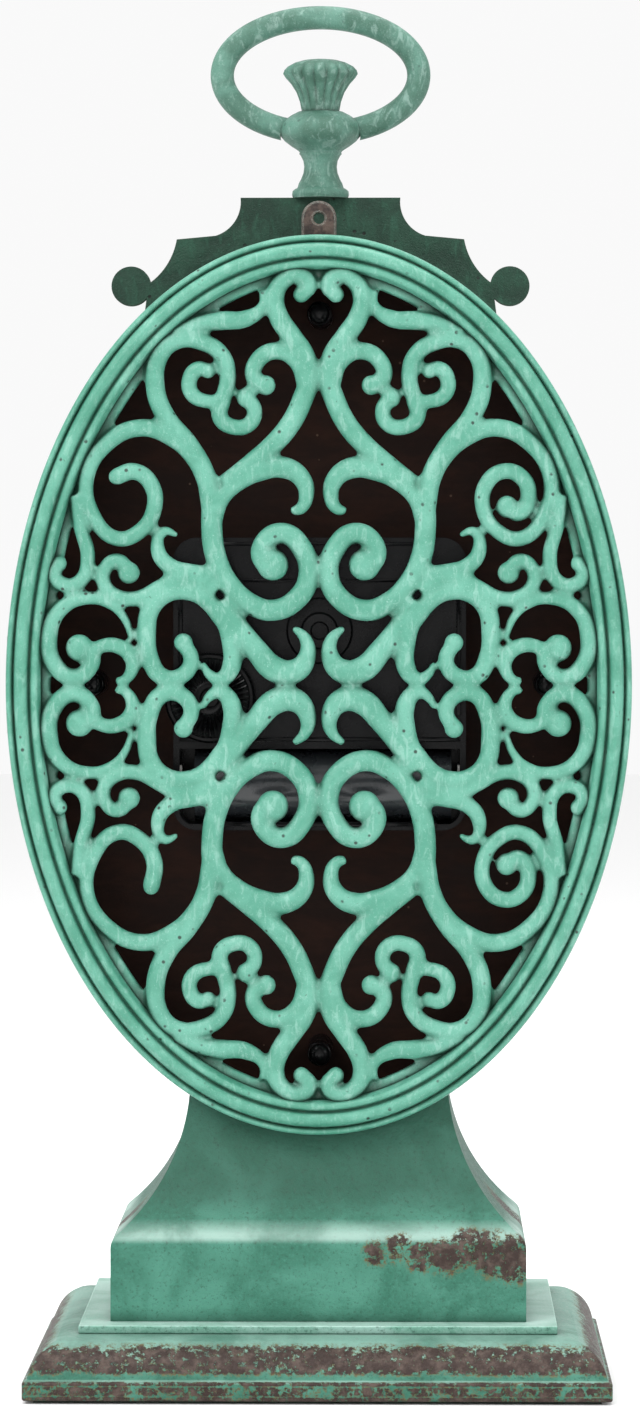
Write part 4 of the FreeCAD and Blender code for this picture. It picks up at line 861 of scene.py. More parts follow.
@dataclass(frozen=True)
class Base:
    """Felt, moulded plinth, thin plate and flared pedestal."""

    edge_mm: float = 0.5
    plinth_bands: tuple[tuple[float, float, float], ...] = (
        (0.0079, 0.0025, 1.0), (0.0038, 0.0004, 0.9), (0.0009, 0.0006, 0.9), (0.0024, 0.0012, 0.72),
    )
    rust_row: tuple[float, float] = (0.011, 0.037)
    rust_spots: int = 7
    rust_reach: float = 0.0074

    def build(self, bench: Bench) -> None:
        """Makes the base's pieces."""
        bench.dress(FELT, "base_felt")
        # pale_share sets the painted highlight on upward faces of the plinth and the plate.
        plinth = WornBasePaint("plinth_paint", bands=self.plinth_bands, pale_share=0.35)
        self._cast(bench, "plinth", plinth, self.edge_mm)
        plate = WornBasePaint(
            "plate_paint", body=(0.15, 0.36, 0.27), light=(0.32, 0.52, 0.45), pale_share=0.6,
        )
        self._cast(bench, "plinth_top_plate", plate, 0.25)
        self._cast(bench, "pedestal", self._pedestal_paint(), 0.7)
        bench.dress(STEEL, "pedestal_bolt")

    def _pedestal_paint(self) -> WornBasePaint:
        """The pedestal's paint, rubbed bare along the right of its rear shoulder, with a painted highlight
        along the shoulder and a painted shadow darkening towards the top.
        """
        low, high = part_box("pedestal")
        shoulder = low.z + 13.6 * MM
        first, last = self.rust_row
        step = (last - first) / (self.rust_spots - 1)
        spots = [
            (first + step * index, low.y, shoulder - (0.6 - 0.9 * math.sin(1.9 * index)) * MM,
             self.rust_reach * (0.6 + 0.4 * index / (self.rust_spots - 1)),
             0.7 + 0.3 * index / (self.rust_spots - 1))
            for index in range(self.rust_spots)
        ]
        spots.append((-0.036, low.y + 0.02, shoulder + 0.004, 0.009, 0.8))
        spots.append((0.036, low.y + 0.03, shoulder + 0.004, 0.010, 0.9))
        return WornBasePaint("pedestal_paint", patches=tuple(spots), pale_share=0.85,
                             painted_highlight_row=(shoulder + 1.6 * MM, 2.6 * MM),
                             shade=(shoulder + 2.0 * MM, shoulder + 12.0 * MM))

    def _cast(self, bench: Bench, node: str, recipe: WornBasePaint, radius_mm: float) -> None:
        """A copy of a frame node with its sharp edges rounded as a casting's are."""
        bm = bench.node_copy(node)
        piece = bench.keep(bm, node + "_cast", Body.CLOCK, recipe, (node,))
        bench.soften(piece, radius_mm)


# ---------------------------------------------------------------- rear cover


@dataclass(frozen=True)
class Stroke:
    """One stroke of the scrollwork in the upper left quarter, in mm from the middle of the oval."""

    name: str
    widths: tuple[float, float, float]
    ball: float
    points: tuple[tuple[float, float], ...]

    def half_width(self, share: float) -> float:
        """Half the width, in mm, at a share of the stroke's length."""
        first, middle, last = self.widths
        if share < 0.5:
            return (first + (middle - first) * 2 * share) / 2
        return (middle + (last - middle) * (2 * share - 1)) / 2

    def cut_short(self, kept: int, ball: float) -> "Stroke":
        """Returns the stroke without its last points and with a smaller ball."""
        return Stroke(self.name, self.widths, ball, self.points[:kept])


STROKES = (
    Stroke("heart", (3.8, 4.0, 2.8), 1.6, (
        (17.3, 37.4), (12.6, 41.2), (8.5, 44.8), (5.1, 48.9), (3.0, 53.2), (1.7, 57.6), (2.6, 61.3),
        (5.1, 65.1), (7.5, 68.9), (8.1, 72.3), (6.6, 75.3), (3.6, 76.4), (1.7, 74.5), (3.2, 72.8))),
    Stroke("leaf", (2.6, 3.8, 0.8), 0.0, (
        (26.6, 65.3), (22.4, 67.2), (17.9, 67.9), (13.4, 68.3), (10.2, 70.8), (10.7, 73.6))),
    Stroke("lobe", (4.0, 3.2, 2.8), 1.9, (
        (19.8, 33.3), (20.9, 38.9), (24.1, 44.8), (28.3, 50.0), (30.3, 55.9), (29.2, 61.9),
        (25.8, 64.4), (21.7, 64.0), (18.1, 61.7), (16.8, 57.8), (17.7, 53.2), (18.3, 50.0),
        (16.0, 48.2), (12.8, 48.7), (11.9, 51.5), (13.4, 53.6))),
    Stroke("lobe_curl", (2.3, 3.0, 2.6), 1.5, (
        (17.5, 53.2), (20.5, 52.9), (23.4, 54.2), (23.9, 57.0), (22.4, 59.0), (20.5, 58.6))),
    Stroke("stem_curl", (3.4, 3.2, 3.0), 1.9, (
        (2.3, 55.9), (4.0, 60.4), (7.9, 62.3), (11.5, 60.2), (11.9, 57.0), (9.8, 55.9))),
    Stroke("centre_hook", (3.0, 4.1, 1.5), 0.0, (
        (19.4, 30.4), (18.1, 34.8), (14.9, 38.0), (10.7, 40.0), (6.4, 40.6), (3.0, 38.4), (2.3, 35.1),
        (3.4, 32.9), (5.1, 32.5))),
    Stroke("great_spiral", (4.0, 4.0, 3.8), 3.0, (
        (19.6, 35.1), (19.8, 29.5), (19.0, 23.8), (16.4, 18.6), (12.6, 15.2), (8.7, 14.0), (4.3, 15.9),
        (1.8, 20.6), (3.2, 25.7), (6.6, 28.4), (10.0, 26.7), (10.4, 23.5), (8.5, 22.5))),
    Stroke("side_hook", (3.0, 3.2, 0.9), 0.0, (
        (19.8, 20.8), (23.9, 21.2), (27.7, 22.3), (29.8, 25.3), (28.8, 28.7), (26.2, 28.0))),
    Stroke("branch_curl", (3.2, 2.8, 2.6), 2.1, (
        (18.7, 17.8), (22.1, 19.7), (25.8, 20.1), (29.6, 18.2), (33.4, 16.3), (37.1, 16.5),
        (39.8, 18.9), (39.4, 22.1), (37.1, 23.3), (35.2, 21.0))),
    Stroke("outer_curl", (3.8, 2.8, 3.2), 2.1, (
        (20.2, 37.0), (22.8, 42.3), (27.3, 46.3), (33.0, 48.0), (39.0, 45.3), (43.0, 38.9), (42.0, 32.1),
        (37.5, 27.4), (33.2, 28.7), (30.5, 32.9), (31.1, 37.6), (34.2, 39.9), (37.5, 38.9), (38.9, 35.6),
        (37.3, 32.2), (34.9, 33.3))),
    Stroke("edge_curl", (2.6, 2.8, 2.6), 1.5, (
        (45.0, 35.5), (44.1, 29.5), (42.8, 23.8), (44.1, 19.5), (47.3, 18.8), (49.2, 20.8),
        (48.1, 22.7))),
    Stroke("middle_curl", (1.1, 3.4, 3.0), 2.6, (
        (34.5, 8.4), (36.0, 12.5), (38.6, 15.2), (43.0, 16.3), (47.9, 14.2), (50.1, 9.0), (49.0, 3.9),
        (45.6, 1.5), (42.6, 3.2), (42.2, 6.0), (44.4, 7.0))),
    Stroke("trefoil_leaf", (2.3, 3.2, 0.9), 0.0, (
        (42.8, 5.7), (40.1, 7.4), (37.1, 7.3), (34.7, 5.4), (34.7, 2.7), (36.6, 0.8), (37.7, 1.2))),
    Stroke("middle_ring", (3.4, 3.6, 2.8), 1.8, (
        (17.9, 12.5), (20.9, 16.1), (24.1, 17.6), (28.1, 17.2), (31.1, 14.4), (31.9, 10.3),
        (31.3, 5.0), (29.0, 1.6), (25.6, 1.7), (23.6, 4.6), (25.1, 8.0))),
    Stroke("ring_leaf", (3.4, 3.6, 0.9), 0.0, (
        (20.9, 16.1), (17.7, 12.5), (16.2, 7.8), (16.2, 3.5), (18.1, 1.2), (20.4, 2.2), (21.5, 4.2))),
    Stroke("cross_hook", (3.4, 5.1, 1.1), 0.0, (
        (17.9, 15.9), (14.9, 11.0), (11.5, 6.5), (7.9, 2.9), (4.4, 2.7), (2.1, 5.5), (2.5, 8.8),
        (4.7, 10.8))),
)


STROKE_FIELD = (51.6, 77.4)
SHORT_CURL = "outer_curl"
SHORT_POINTS = {(1, 1): 13, (1, -1): 11}
SHORT_BALL = 1.5


@dataclass
class RearCover:
    """Moulded oval ring with the cast scrollwork let into it."""

    centre_z: float
    face_y: float
    back_y: float
    half_x: float
    half_z: float
    ring_mm: float = 6.6
    plane_y: float = -24.9 * MM
    foot_y: float = -23.6 * MM
    dome: float = 0.95
    ball_dome: float = 0.85
    skirt: float = 4.0
    grain_mm: float = 0.47
    keep_share: float = 0.62

    @classmethod
    def from_frame(cls) -> "RearCover":
        """Reads the cover's size from the frame."""
        low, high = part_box("cover_ring")
        return cls((low.z + high.z) / 2, low.y, high.y, high.x, (high.z - low.z) / 2)

    def build(self, bench: Bench) -> None:
        """Makes the ring and the scrollwork."""
        outer = Oval(self.half_x, self.half_z, self.centre_z)
        section = [(-out * MM, y * MM) for out, y in self._section()]
        bench.keep(outer.moulding(section), "moulded_ring", Body.COVER, MINT,
                   ("cover_ring",), 75)
        bench.keep(self._scrolls(), "scroll_casting", Body.COVER, SCROLL_MINT,
                   ("cover_scrollwork",), 80)
        bench.dress(STEEL, "catch_strike", "hinge_leaf_cover")

    def _section(self) -> list[tuple[float, float]]:
        """The ring's moulding, as mm inwards from its outer edge and Y."""
        back = self.back_y / MM
        face = self.face_y / MM
        wide = self.ring_mm
        made = [(0.15, back), (0.0, back - 0.3), (0.0, face + 2.6)]
        made += [(across, -height) for across, height in bead_arc(0.05, 1.35, -face - 2.4, 0.85)]
        made += [(across, -height) for across, height in bead_arc(1.60, 4.25, -face - 1.75, 1.75, 11)]
        made += [(across, -height) for across, height in bead_arc(4.50, wide - 0.35, -face - 1.9, 1.15)]
        made += [(wide - 0.1, face + 2.3), (wide, face + 3.2), (wide, face + 4.2), (wide - 0.9, back)]
        return made

    def _scrolls(self) -> bmesh.types.BMesh:
        """Sweeps every stroke, adds the balls and the rim, and fuses them into one casting."""
        whole = bmesh.new()
        for side_x in (1, -1):
            for side_z in (1, -1):
                kept = SHORT_POINTS.get((side_x, side_z))
                strokes = [
                    stroke.cut_short(kept, SHORT_BALL) if kept and stroke.name == SHORT_CURL else stroke
                    for stroke in STROKES
                ]
                self._quarter(whole, strokes, side_x, side_z)
        inwards = (self.ring_mm - 0.4) * MM
        rim = Oval(self.half_x - inwards, self.half_z - inwards, self.centre_z)
        section = [(0.0, -23.9 * MM), (0.0, self.back_y), (-2.2 * MM, self.back_y), (-2.2 * MM, -23.9 * MM)]
        band = rim.moulding(section)
        absorb(whole, band)
        return self._fused(whole)

    def _quarter(self, whole: bmesh.types.BMesh, strokes: Sequence[Stroke], side_x: int, side_z: int) -> None:
        """Adds one quarter's strokes and balls to the casting."""
        swept = self._swept(strokes, side_x, side_z)
        for vert in swept.verts:
            across, up, out = vert.co
            vert.co = (across, min(self.plane_y - out, self.foot_y), self.centre_z + up)
        for stroke in strokes:
            if not stroke.ball:
                continue
            across, up = self._placed(stroke.points[-1], side_x, side_z)
            turn = Matrix.Translation((across, self.plane_y, self.centre_z + up))
            made = bmesh.ops.create_uvsphere(swept, u_segments=28, v_segments=16, radius=stroke.ball * MM)
            for vert in made["verts"]:
                vert.co.y *= self.ball_dome if vert.co.y < 0 else self.skirt
            bmesh.ops.transform(swept, matrix=turn, verts=made["verts"])
            for vert in made["verts"]:
                vert.co.y = min(vert.co.y, self.foot_y)
        absorb(whole, swept)

    def _placed(self, spot: tuple[float, float], side_x: int, side_z: int) -> tuple[float, float]:
        """Returns a stroke's point in metres, in its own quarter and stretched to the ring's opening."""
        wide = (self.half_x - self.ring_mm * MM) / STROKE_FIELD[0]
        tall = (self.half_z - self.ring_mm * MM) / STROKE_FIELD[1]
        return -spot[0] * side_x * wide, spot[1] * side_z * tall

    def _swept(self, strokes: Sequence[Stroke], side_x: int, side_z: int) -> bmesh.types.BMesh:
        """Sweeps a domed section along the strokes, flat in X and Y with the dome towards Z."""
        section = bpy.data.curves.new("section", "CURVE")
        section.dimensions = "2D"
        spots = [(-1.0, -self.skirt)]
        for index in range(13):
            angle = math.pi * (1 - index / 12)
            spots.append((math.cos(angle), self.dome * math.sin(angle) ** 0.9))
        spots.append((1.0, -self.skirt))
        line = section.splines.new("POLY")
        line.points.add(len(spots) - 1)
        for point, (across, up) in zip(line.points, spots):
            point.co = (across, up, 0.0, 1.0)
        line.use_cyclic_u = True
        holder = stood("section", section)

        curve = bpy.data.curves.new("strokes", "CURVE")
        curve.dimensions = "2D"
        curve.bevel_mode = "OBJECT"
        curve.bevel_object = holder
        curve.use_fill_caps = True
        curve.resolution_u = 6
        for stroke in strokes:
            path = curve.splines.new("BEZIER")
            path.bezier_points.add(len(stroke.points) - 1)
            path.radius_interpolation = "LINEAR"
            last = len(stroke.points) - 1
            for index, (point, (across, up)) in enumerate(zip(path.bezier_points, stroke.points)):
                point.co = (*self._placed((across, up), side_x, side_z), 0.0)
                point.handle_left_type = "AUTO"
                point.handle_right_type = "AUTO"
                point.radius = stroke.half_width(index / last) * MM
        bm = baked(stood("strokes", curve), holder)
        bmesh.ops.remove_doubles(bm, verts=bm.verts, dist=1e-6)
        return bm

    def _fused(self, whole: bmesh.types.BMesh) -> bmesh.types.BMesh:
        """Fuses overlapping shells into one skin, smooths it and thins its flat stretches."""
        mesh = bpy.data.meshes.new("shells")
        bmesh.ops.recalc_face_normals(whole, faces=whole.faces)
        whole.to_mesh(mesh)
        whole.free()
        piece = stood("shells", mesh)
        skin = piece.modifiers.new("skin", "REMESH")
        skin.mode = "VOXEL"
        skin.voxel_size = self.grain_mm * MM
        ease = piece.modifiers.new("ease", "SMOOTH")
        ease.factor = 0.5
        ease.iterations = 3
        thin = piece.modifiers.new("thin", "DECIMATE")
        thin.ratio = self.keep_share
        bm = baked(piece)
        bmesh.ops.triangulate(bm, faces=bm.faces)
        LOG.info("scroll casting: %d triangles", len(bm.faces))
        return bm


# ---------------------------------------------------------------- case, crest and pendant


@dataclass(frozen=True)
class Case:
    """Oval band, backing board, posts, crest plate, hanging lug and hinge."""

    sleeve_mm: float = 2.35
    head_mm: float = 2.0

    def build(self, bench: Bench) -> None:
        """Dresses the case and makes the posts."""
        bench.dress(CASE_GREEN, "case_band")
        bench.dress(BOARD, "backing_board")
        bench.dress(STEEL, "saddle_screws", "hinge_leaf_case", "hinge_pin")
        bench.dress(MAGNET, "catch_magnet")
        crest = bench.keep(bench.node_copy("crest_plate"), "crest_casting", Body.CLOCK,
                           CASE_GREEN, ("crest_plate",))
        bench.soften(crest, 0.3)
        lug = bench.keep(bench.node_copy("hanging_lug"), "lug_casting", Body.CLOCK, IRON,
                         ("hanging_lug",))
        bench.soften(lug, 0.3)
        self._posts(bench)

    def _posts(self, bench: Bench) -> None:
        """Four moulded sleeves, each with a round screw head."""
        low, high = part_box("post_screws")
        sleeves_low, sleeves_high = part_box("spacer_sleeves")
        middle_z = (low.z + high.z) / 2
        spots = (
            (0.0, high.z - self.head_mm * MM), (0.0, low.z + self.head_mm * MM),
            (low.x + self.head_mm * MM, middle_z), (high.x - self.head_mm * MM, middle_z),
        )
        rear, front = sleeves_low.y, sleeves_high.y
        sleeves, heads = bmesh.new(), bmesh.new()
        for x, z in spots:
            centre = Vector((x, 0, z))
            wall = [
                (self.sleeve_mm, front), (self.sleeve_mm, rear + 0.6 * MM),
                (self.sleeve_mm - 0.18, rear + 0.15 * MM),
                (self.sleeve_mm - 0.5, rear), (1.1, rear), (1.1, front),
            ]
            self._add_spun(sleeves, [(radius, y, 0) for radius, y in wall], centre)
            cap = [(0.0, rear)]
            for index in range(8):
                angle = math.pi / 2 * index / 7
                cap.append((self.head_mm * math.cos(angle), rear - 0.25 * MM - 1.3 * MM * math.sin(angle)))
            self._add_spun(heads, [(radius, y, 0) for radius, y in cap], centre)
        bench.keep(sleeves, "post_sleeves", Body.CLOCK, BLACK_PLASTIC,
                   ("spacer_sleeves",), 30)
        bench.keep(heads, "post_heads", Body.CLOCK, BLACK_PLASTIC, ("post_screws",), 30)

    def _add_spun(self, bm: bmesh.types.BMesh, outline: Sequence[tuple[float, float, float]],
                  centre: Vector) -> None:
        """Adds a body of revolution about Y; radii are in mm and Y in metres."""
        points = [(centre.x + radius * MM, y, centre.z + z) for radius, y, z in outline]
        made = spun(points, Vector((0, 1, 0)), centre, 40, closed=outline[0][0] > 0)
        absorb(bm, made)


@dataclass(frozen=True)
class Pendant:
    """Turned pendant, fluted crown and oval bow."""

    flutes: int = 16
    flute_depth: float = 0.11
    steps: int = 192

    def build(self, bench: Bench) -> None:
        """Makes the pendant and crown and dresses the bow."""
        low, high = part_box("pendant")
        base, top = low.z, high.z
        rise = top - base
        wide = (high.x - low.x) / 2
        outline = [
            (0.0, 0.0), (5.3, 0.0), (5.5, 0.035), (5.4, 0.08), (4.9, 0.105), (4.5, 0.115), (4.35, 0.14),
            (4.2, 0.17), (3.75, 0.22), (3.3, 0.29), (3.15, 0.36), (3.3, 0.43), (3.8, 0.49), (4.1, 0.51),
            (4.0, 0.53), (4.3, 0.55), (5.6, 0.60), (6.9, 0.66), (7.7, 0.72), (7.9, 0.78), (7.6, 0.85),
            (6.8, 0.91), (5.6, 0.96), (4.3, 1.0), (0.0, 1.0),
        ]
        points = [(min(radius * MM, wide), 0.0, base + share * rise) for radius, share in outline]
        body = spun(points, Vector((0, 0, 1)), Vector(), 72, closed=False)
        bench.keep(body, "turned_pendant", Body.CLOCK, PENDANT_GREY, ("pendant",), 60)
        bench.keep(self._crown(), "fluted_crown", Body.CLOCK, PENDANT_GREY,
                   ("crown_knob",), 70)
        bench.dress(PENDANT_GREY, "bow_ring")
        bench.dress(STEEL, "pendant_stud")

    def _crown(self) -> bmesh.types.BMesh:
        """The crown: a flared cup with scalloped flutes under a low dome."""
        low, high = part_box("crown_knob")
        rise = high.z - low.z
        wide = (high.x - low.x) / 2
        outline = [
            (0.0, 0.0), (0.50, 0.0), (0.52, 0.06), (0.55, 0.18), (0.64, 0.36), (0.78, 0.52), (0.93, 0.64),
            (1.00, 0.72), (0.97, 0.79), (0.88, 0.86), (0.70, 0.93), (0.45, 0.98), (0.2, 1.0), (0.0, 1.0),
        ]
        bm = spun([(radius * wide, 0.0, low.z + share * rise) for radius, share in outline],
                  Vector((0, 0, 1)), Vector(), self.steps, closed=False)
        for vert in bm.verts:
            radius = math.hypot(vert.co.x, vert.co.y)
            turn = math.atan2(vert.co.y, vert.co.x)
            share = (vert.co.z - low.z) / rise
            depth = self.flute_depth * min(1.0, 6.0 * share) * min(1.0, max(0.0, (1.0 - share) * 5.0))
            scale = 1.0 - depth * (1.0 - abs(math.cos(self.flutes * turn / 2)))
            if radius > 0:
                vert.co.x *= scale
                vert.co.y *= scale
        bmesh.ops.recalc_face_normals(bm, faces=bm.faces)
        return bm


# ---------------------------------------------------------------- front


@dataclass
class Front:
    """Beaded oval casting, round window, domed glass and printed dial."""

    centre_z: float
    arbor_z: float
    half_x: float
    half_z: float
    rear_y: float
    face_y: float
    window: float = 37.0 * MM
    beads: int = 86
    bead_mm: float = 2.3

    @classmethod
    def from_frame(cls) -> "Front":
        """Reads the front's size from the frame."""
        low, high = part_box("front_bezel")
        dial_low, dial_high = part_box("dial")
        band_low, band_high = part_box("case_band")
        return cls((low.z + high.z) / 2, (dial_low.z + dial_high.z) / 2, high.x, (high.z - low.z) / 2,
                   band_high.y, high.y)

    def build(self, bench: Bench) -> None:
        """Makes the front's pieces."""
        bench.keep(self._casting(), "front_casting", Body.CLOCK, BEAD_MINT,
                   ("front_bezel",), 60)
        bench.keep(self._pearls(), "pearl_edge", Body.CLOCK, BEAD_MINT)
        bench.keep(self._window_ring(), "window_ring", Body.CLOCK, MINT)
        bench.keep(self._glass(), "domed_glass", Body.CLOCK, GLASS, ("dial_glass",), 60)
        bench.keep(self._print(), "dial_print", Body.CLOCK, BLACK_ENAMEL)
        bench.dress(DIAL, "dial")
        bench.dress(BRASS, "glass_retainer", "dial_washer", "hex_nut")
        bench.dress(BLACK_ENAMEL, "hour_hand", "minute_hand", "second_hand")

    def _casting(self) -> bmesh.types.BMesh:
        """The moulded frame and the flat face inside it, joined into one skin."""
        oval = Oval(self.half_x, self.half_z, self.centre_z)
        rear, face = self.rear_y / MM, self.face_y / MM
        section = [(-3.2, rear), (-2.0, rear + 0.4), (-1.6, rear + 1.6), (-2.4, rear + 2.6)]
        section += [(-3.9, rear + 5.2)]
        section += [(-4.0 - across, height) for across, height in bead_arc(0.0, 2.6, face - 1.4, 1.4)]
        section += [(-6.9, face - 2.4), (-7.6, face - 4.4), (-8.8, face - 5.9), (-10.4, face - 6.5),
                    (-12.0, face - 6.5), (-12.0, rear)]
        bm = oval.moulding([(out * MM, y * MM) for out, y in section])
        plate = bmesh.new()
        steps = 240
        rings = []
        for place in (lambda turn: oval.spot(turn, -11.5 * MM),
                      lambda turn: (self.window * 1.04 * math.cos(turn),
                                    self.arbor_z + self.window * 1.04 * math.sin(turn))):
            made = bmesh.ops.create_circle(plate, segments=steps, radius=1.0)
            for index, vert in enumerate(made["verts"]):
                across, up = place(2 * math.pi * index / steps)
                vert.co = (across, (face - 6.6) * MM, up)
            rings.append(made["verts"])
        edges = list(plate.edges)
        bmesh.ops.bridge_loops(plate, edges=edges)
        bmesh.ops.recalc_face_normals(plate, faces=plate.faces)
        bmesh.ops.solidify(plate, geom=plate.faces[:], thickness=2.0 * MM)
        bmesh.ops.recalc_face_normals(plate, faces=plate.faces)
        absorb(bm, plate)
        return bm

    def _pearls(self) -> bmesh.types.BMesh:
        """A row of half pearls round the edge of the front."""
        inwards = self.bead_mm * MM * 1.3
        oval = Oval(self.half_x - inwards, self.half_z - inwards, self.centre_z)
        bm = bmesh.new()
        for turn in oval.even_turns(self.beads):
            x, z = oval.spot(turn)
            bmesh.ops.create_icosphere(bm, subdivisions=2, radius=self.bead_mm * MM,
                                       matrix=Matrix.Translation((x, self.rear_y + 2.6 * MM, z)))
        return bm

    def _window_ring(self) -> bmesh.types.BMesh:
        """The moulded ring round the glass."""
        face = self.face_y / MM
        section = [(37.0, self.rear_y / MM + 3.4), (37.0, face - 4.2)]
        section += bead_arc(37.0, 39.2, face - 4.0, 1.5)
        section += bead_arc(39.4, 41.8, face - 5.6, 1.6)
        section += [(42.4, face - 6.4), (42.4, face - 7.5)]
        points = [(radius * MM, y * MM, self.arbor_z) for radius, y in section]
        return spun(points, Vector((0, 1, 0)), Vector((0, 0, self.arbor_z)), 160)

    def _glass(self) -> bmesh.types.BMesh:
        """A domed glass of even thickness."""
        low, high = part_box("dial_glass")
        edge = (high.x - low.x) / 2
        flat = self.window - 0.4 * MM
        rise = 3.6 * MM
        thick = high.y - low.y
        outline = [(edge, low.y), (edge, high.y), (flat, high.y)]
        for index in range(1, 13):
            share = index / 12
            outline.append((flat * math.cos(share * math.pi / 2),
                            high.y + rise * math.sin(share * math.pi / 2)))
        for index in range(13):
            share = 1 - index / 12
            outline.append(((flat - thick) * math.cos(share * math.pi / 2),
                            low.y + rise * math.sin(share * math.pi / 2)))
        points = [(radius, y, self.arbor_z) for radius, y in outline]
        bm = spun(points[:15], Vector((0, 1, 0)), Vector((0, 0, self.arbor_z)), 128, closed=False)
        inner = spun(points[15:] + [(edge, low.y, self.arbor_z)], Vector((0, 1, 0)),
                     Vector((0, 0, self.arbor_z)), 128, closed=False)
        bmesh.ops.reverse_faces(inner, faces=inner.faces)
        absorb(bm, inner)
        bmesh.ops.remove_doubles(bm, verts=bm.verts, dist=1e-6)
        bmesh.ops.recalc_face_normals(bm, faces=bm.faces)
        return bm

    def _print(self) -> bmesh.types.BMesh:
        """Roman numerals, minute marks and two fine circles."""
        low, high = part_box("dial")
        level = high.y
        bm = bmesh.new()
        for radius in (37.0, 34.2):
            ring = spun([((radius + side) * MM, level + lift * MM, self.arbor_z)
                         for side, lift in ((-0.12, 0.0), (-0.12, 0.03), (0.12, 0.03), (0.12, 0.0))],
                        Vector((0, 1, 0)), Vector((0, 0, self.arbor_z)), 120)
            absorb(bm, ring)
        for minute in range(60):
            long = minute % 5 == 0
            made = bmesh.ops.create_cube(bm, size=1.0)
            size = Matrix.Diagonal(((0.9 if long else 0.35) * MM, 0.03 * MM, 2.6 * MM, 1.0))
            out = Matrix.Translation((0, 0, 35.6 * MM))
            place = self._turned(minute * 6.0, level) @ out @ size
            bmesh.ops.transform(bm, matrix=place, verts=made["verts"])
        names = ("XII", "I", "II", "III", "IIII", "V", "VI", "VII", "VIII", "IX", "X", "XI")
        for hour, words in enumerate(names):
            absorb(bm, self._numeral(words, hour * 30.0, level))
        return bm

    def _turned(self, degrees: float, level: float) -> Matrix:
        """Turns a mark clockwise about the arbor, as seen from the front, at the dial's face."""
        return Matrix.Translation((0, level, self.arbor_z)) @ Matrix.Rotation(-math.radians(degrees), 4, "Y")

    def _numeral(self, words: str, degrees: float, level: float) -> bmesh.types.BMesh:
        """One numeral, made a mesh and laid on the dial."""
        text = bpy.data.curves.new("numeral", "FONT")
        text.body = words
        text.align_x = "CENTER"
        text.align_y = "CENTER"
        text.size = 8.4 * MM
        text.extrude = 0.02 * MM
        text.resolution_u = 3
        bm = baked(stood("numeral", text))
        facing = Matrix(((-1, 0, 0, 0), (0, 0, 1, 0), (0, 1, 0, 0), (0, 0, 0, 1)))
        narrow = Matrix.Diagonal((0.82, 1.0, 1.0, 1.0))
        out = Matrix.Translation((0, 0.02 * MM, 28.6 * MM))
        bmesh.ops.transform(bm, matrix=self._turned(degrees, level) @ out @ facing @ narrow, verts=bm.verts)
        return bm


# ---------------------------------------------------------------- movement


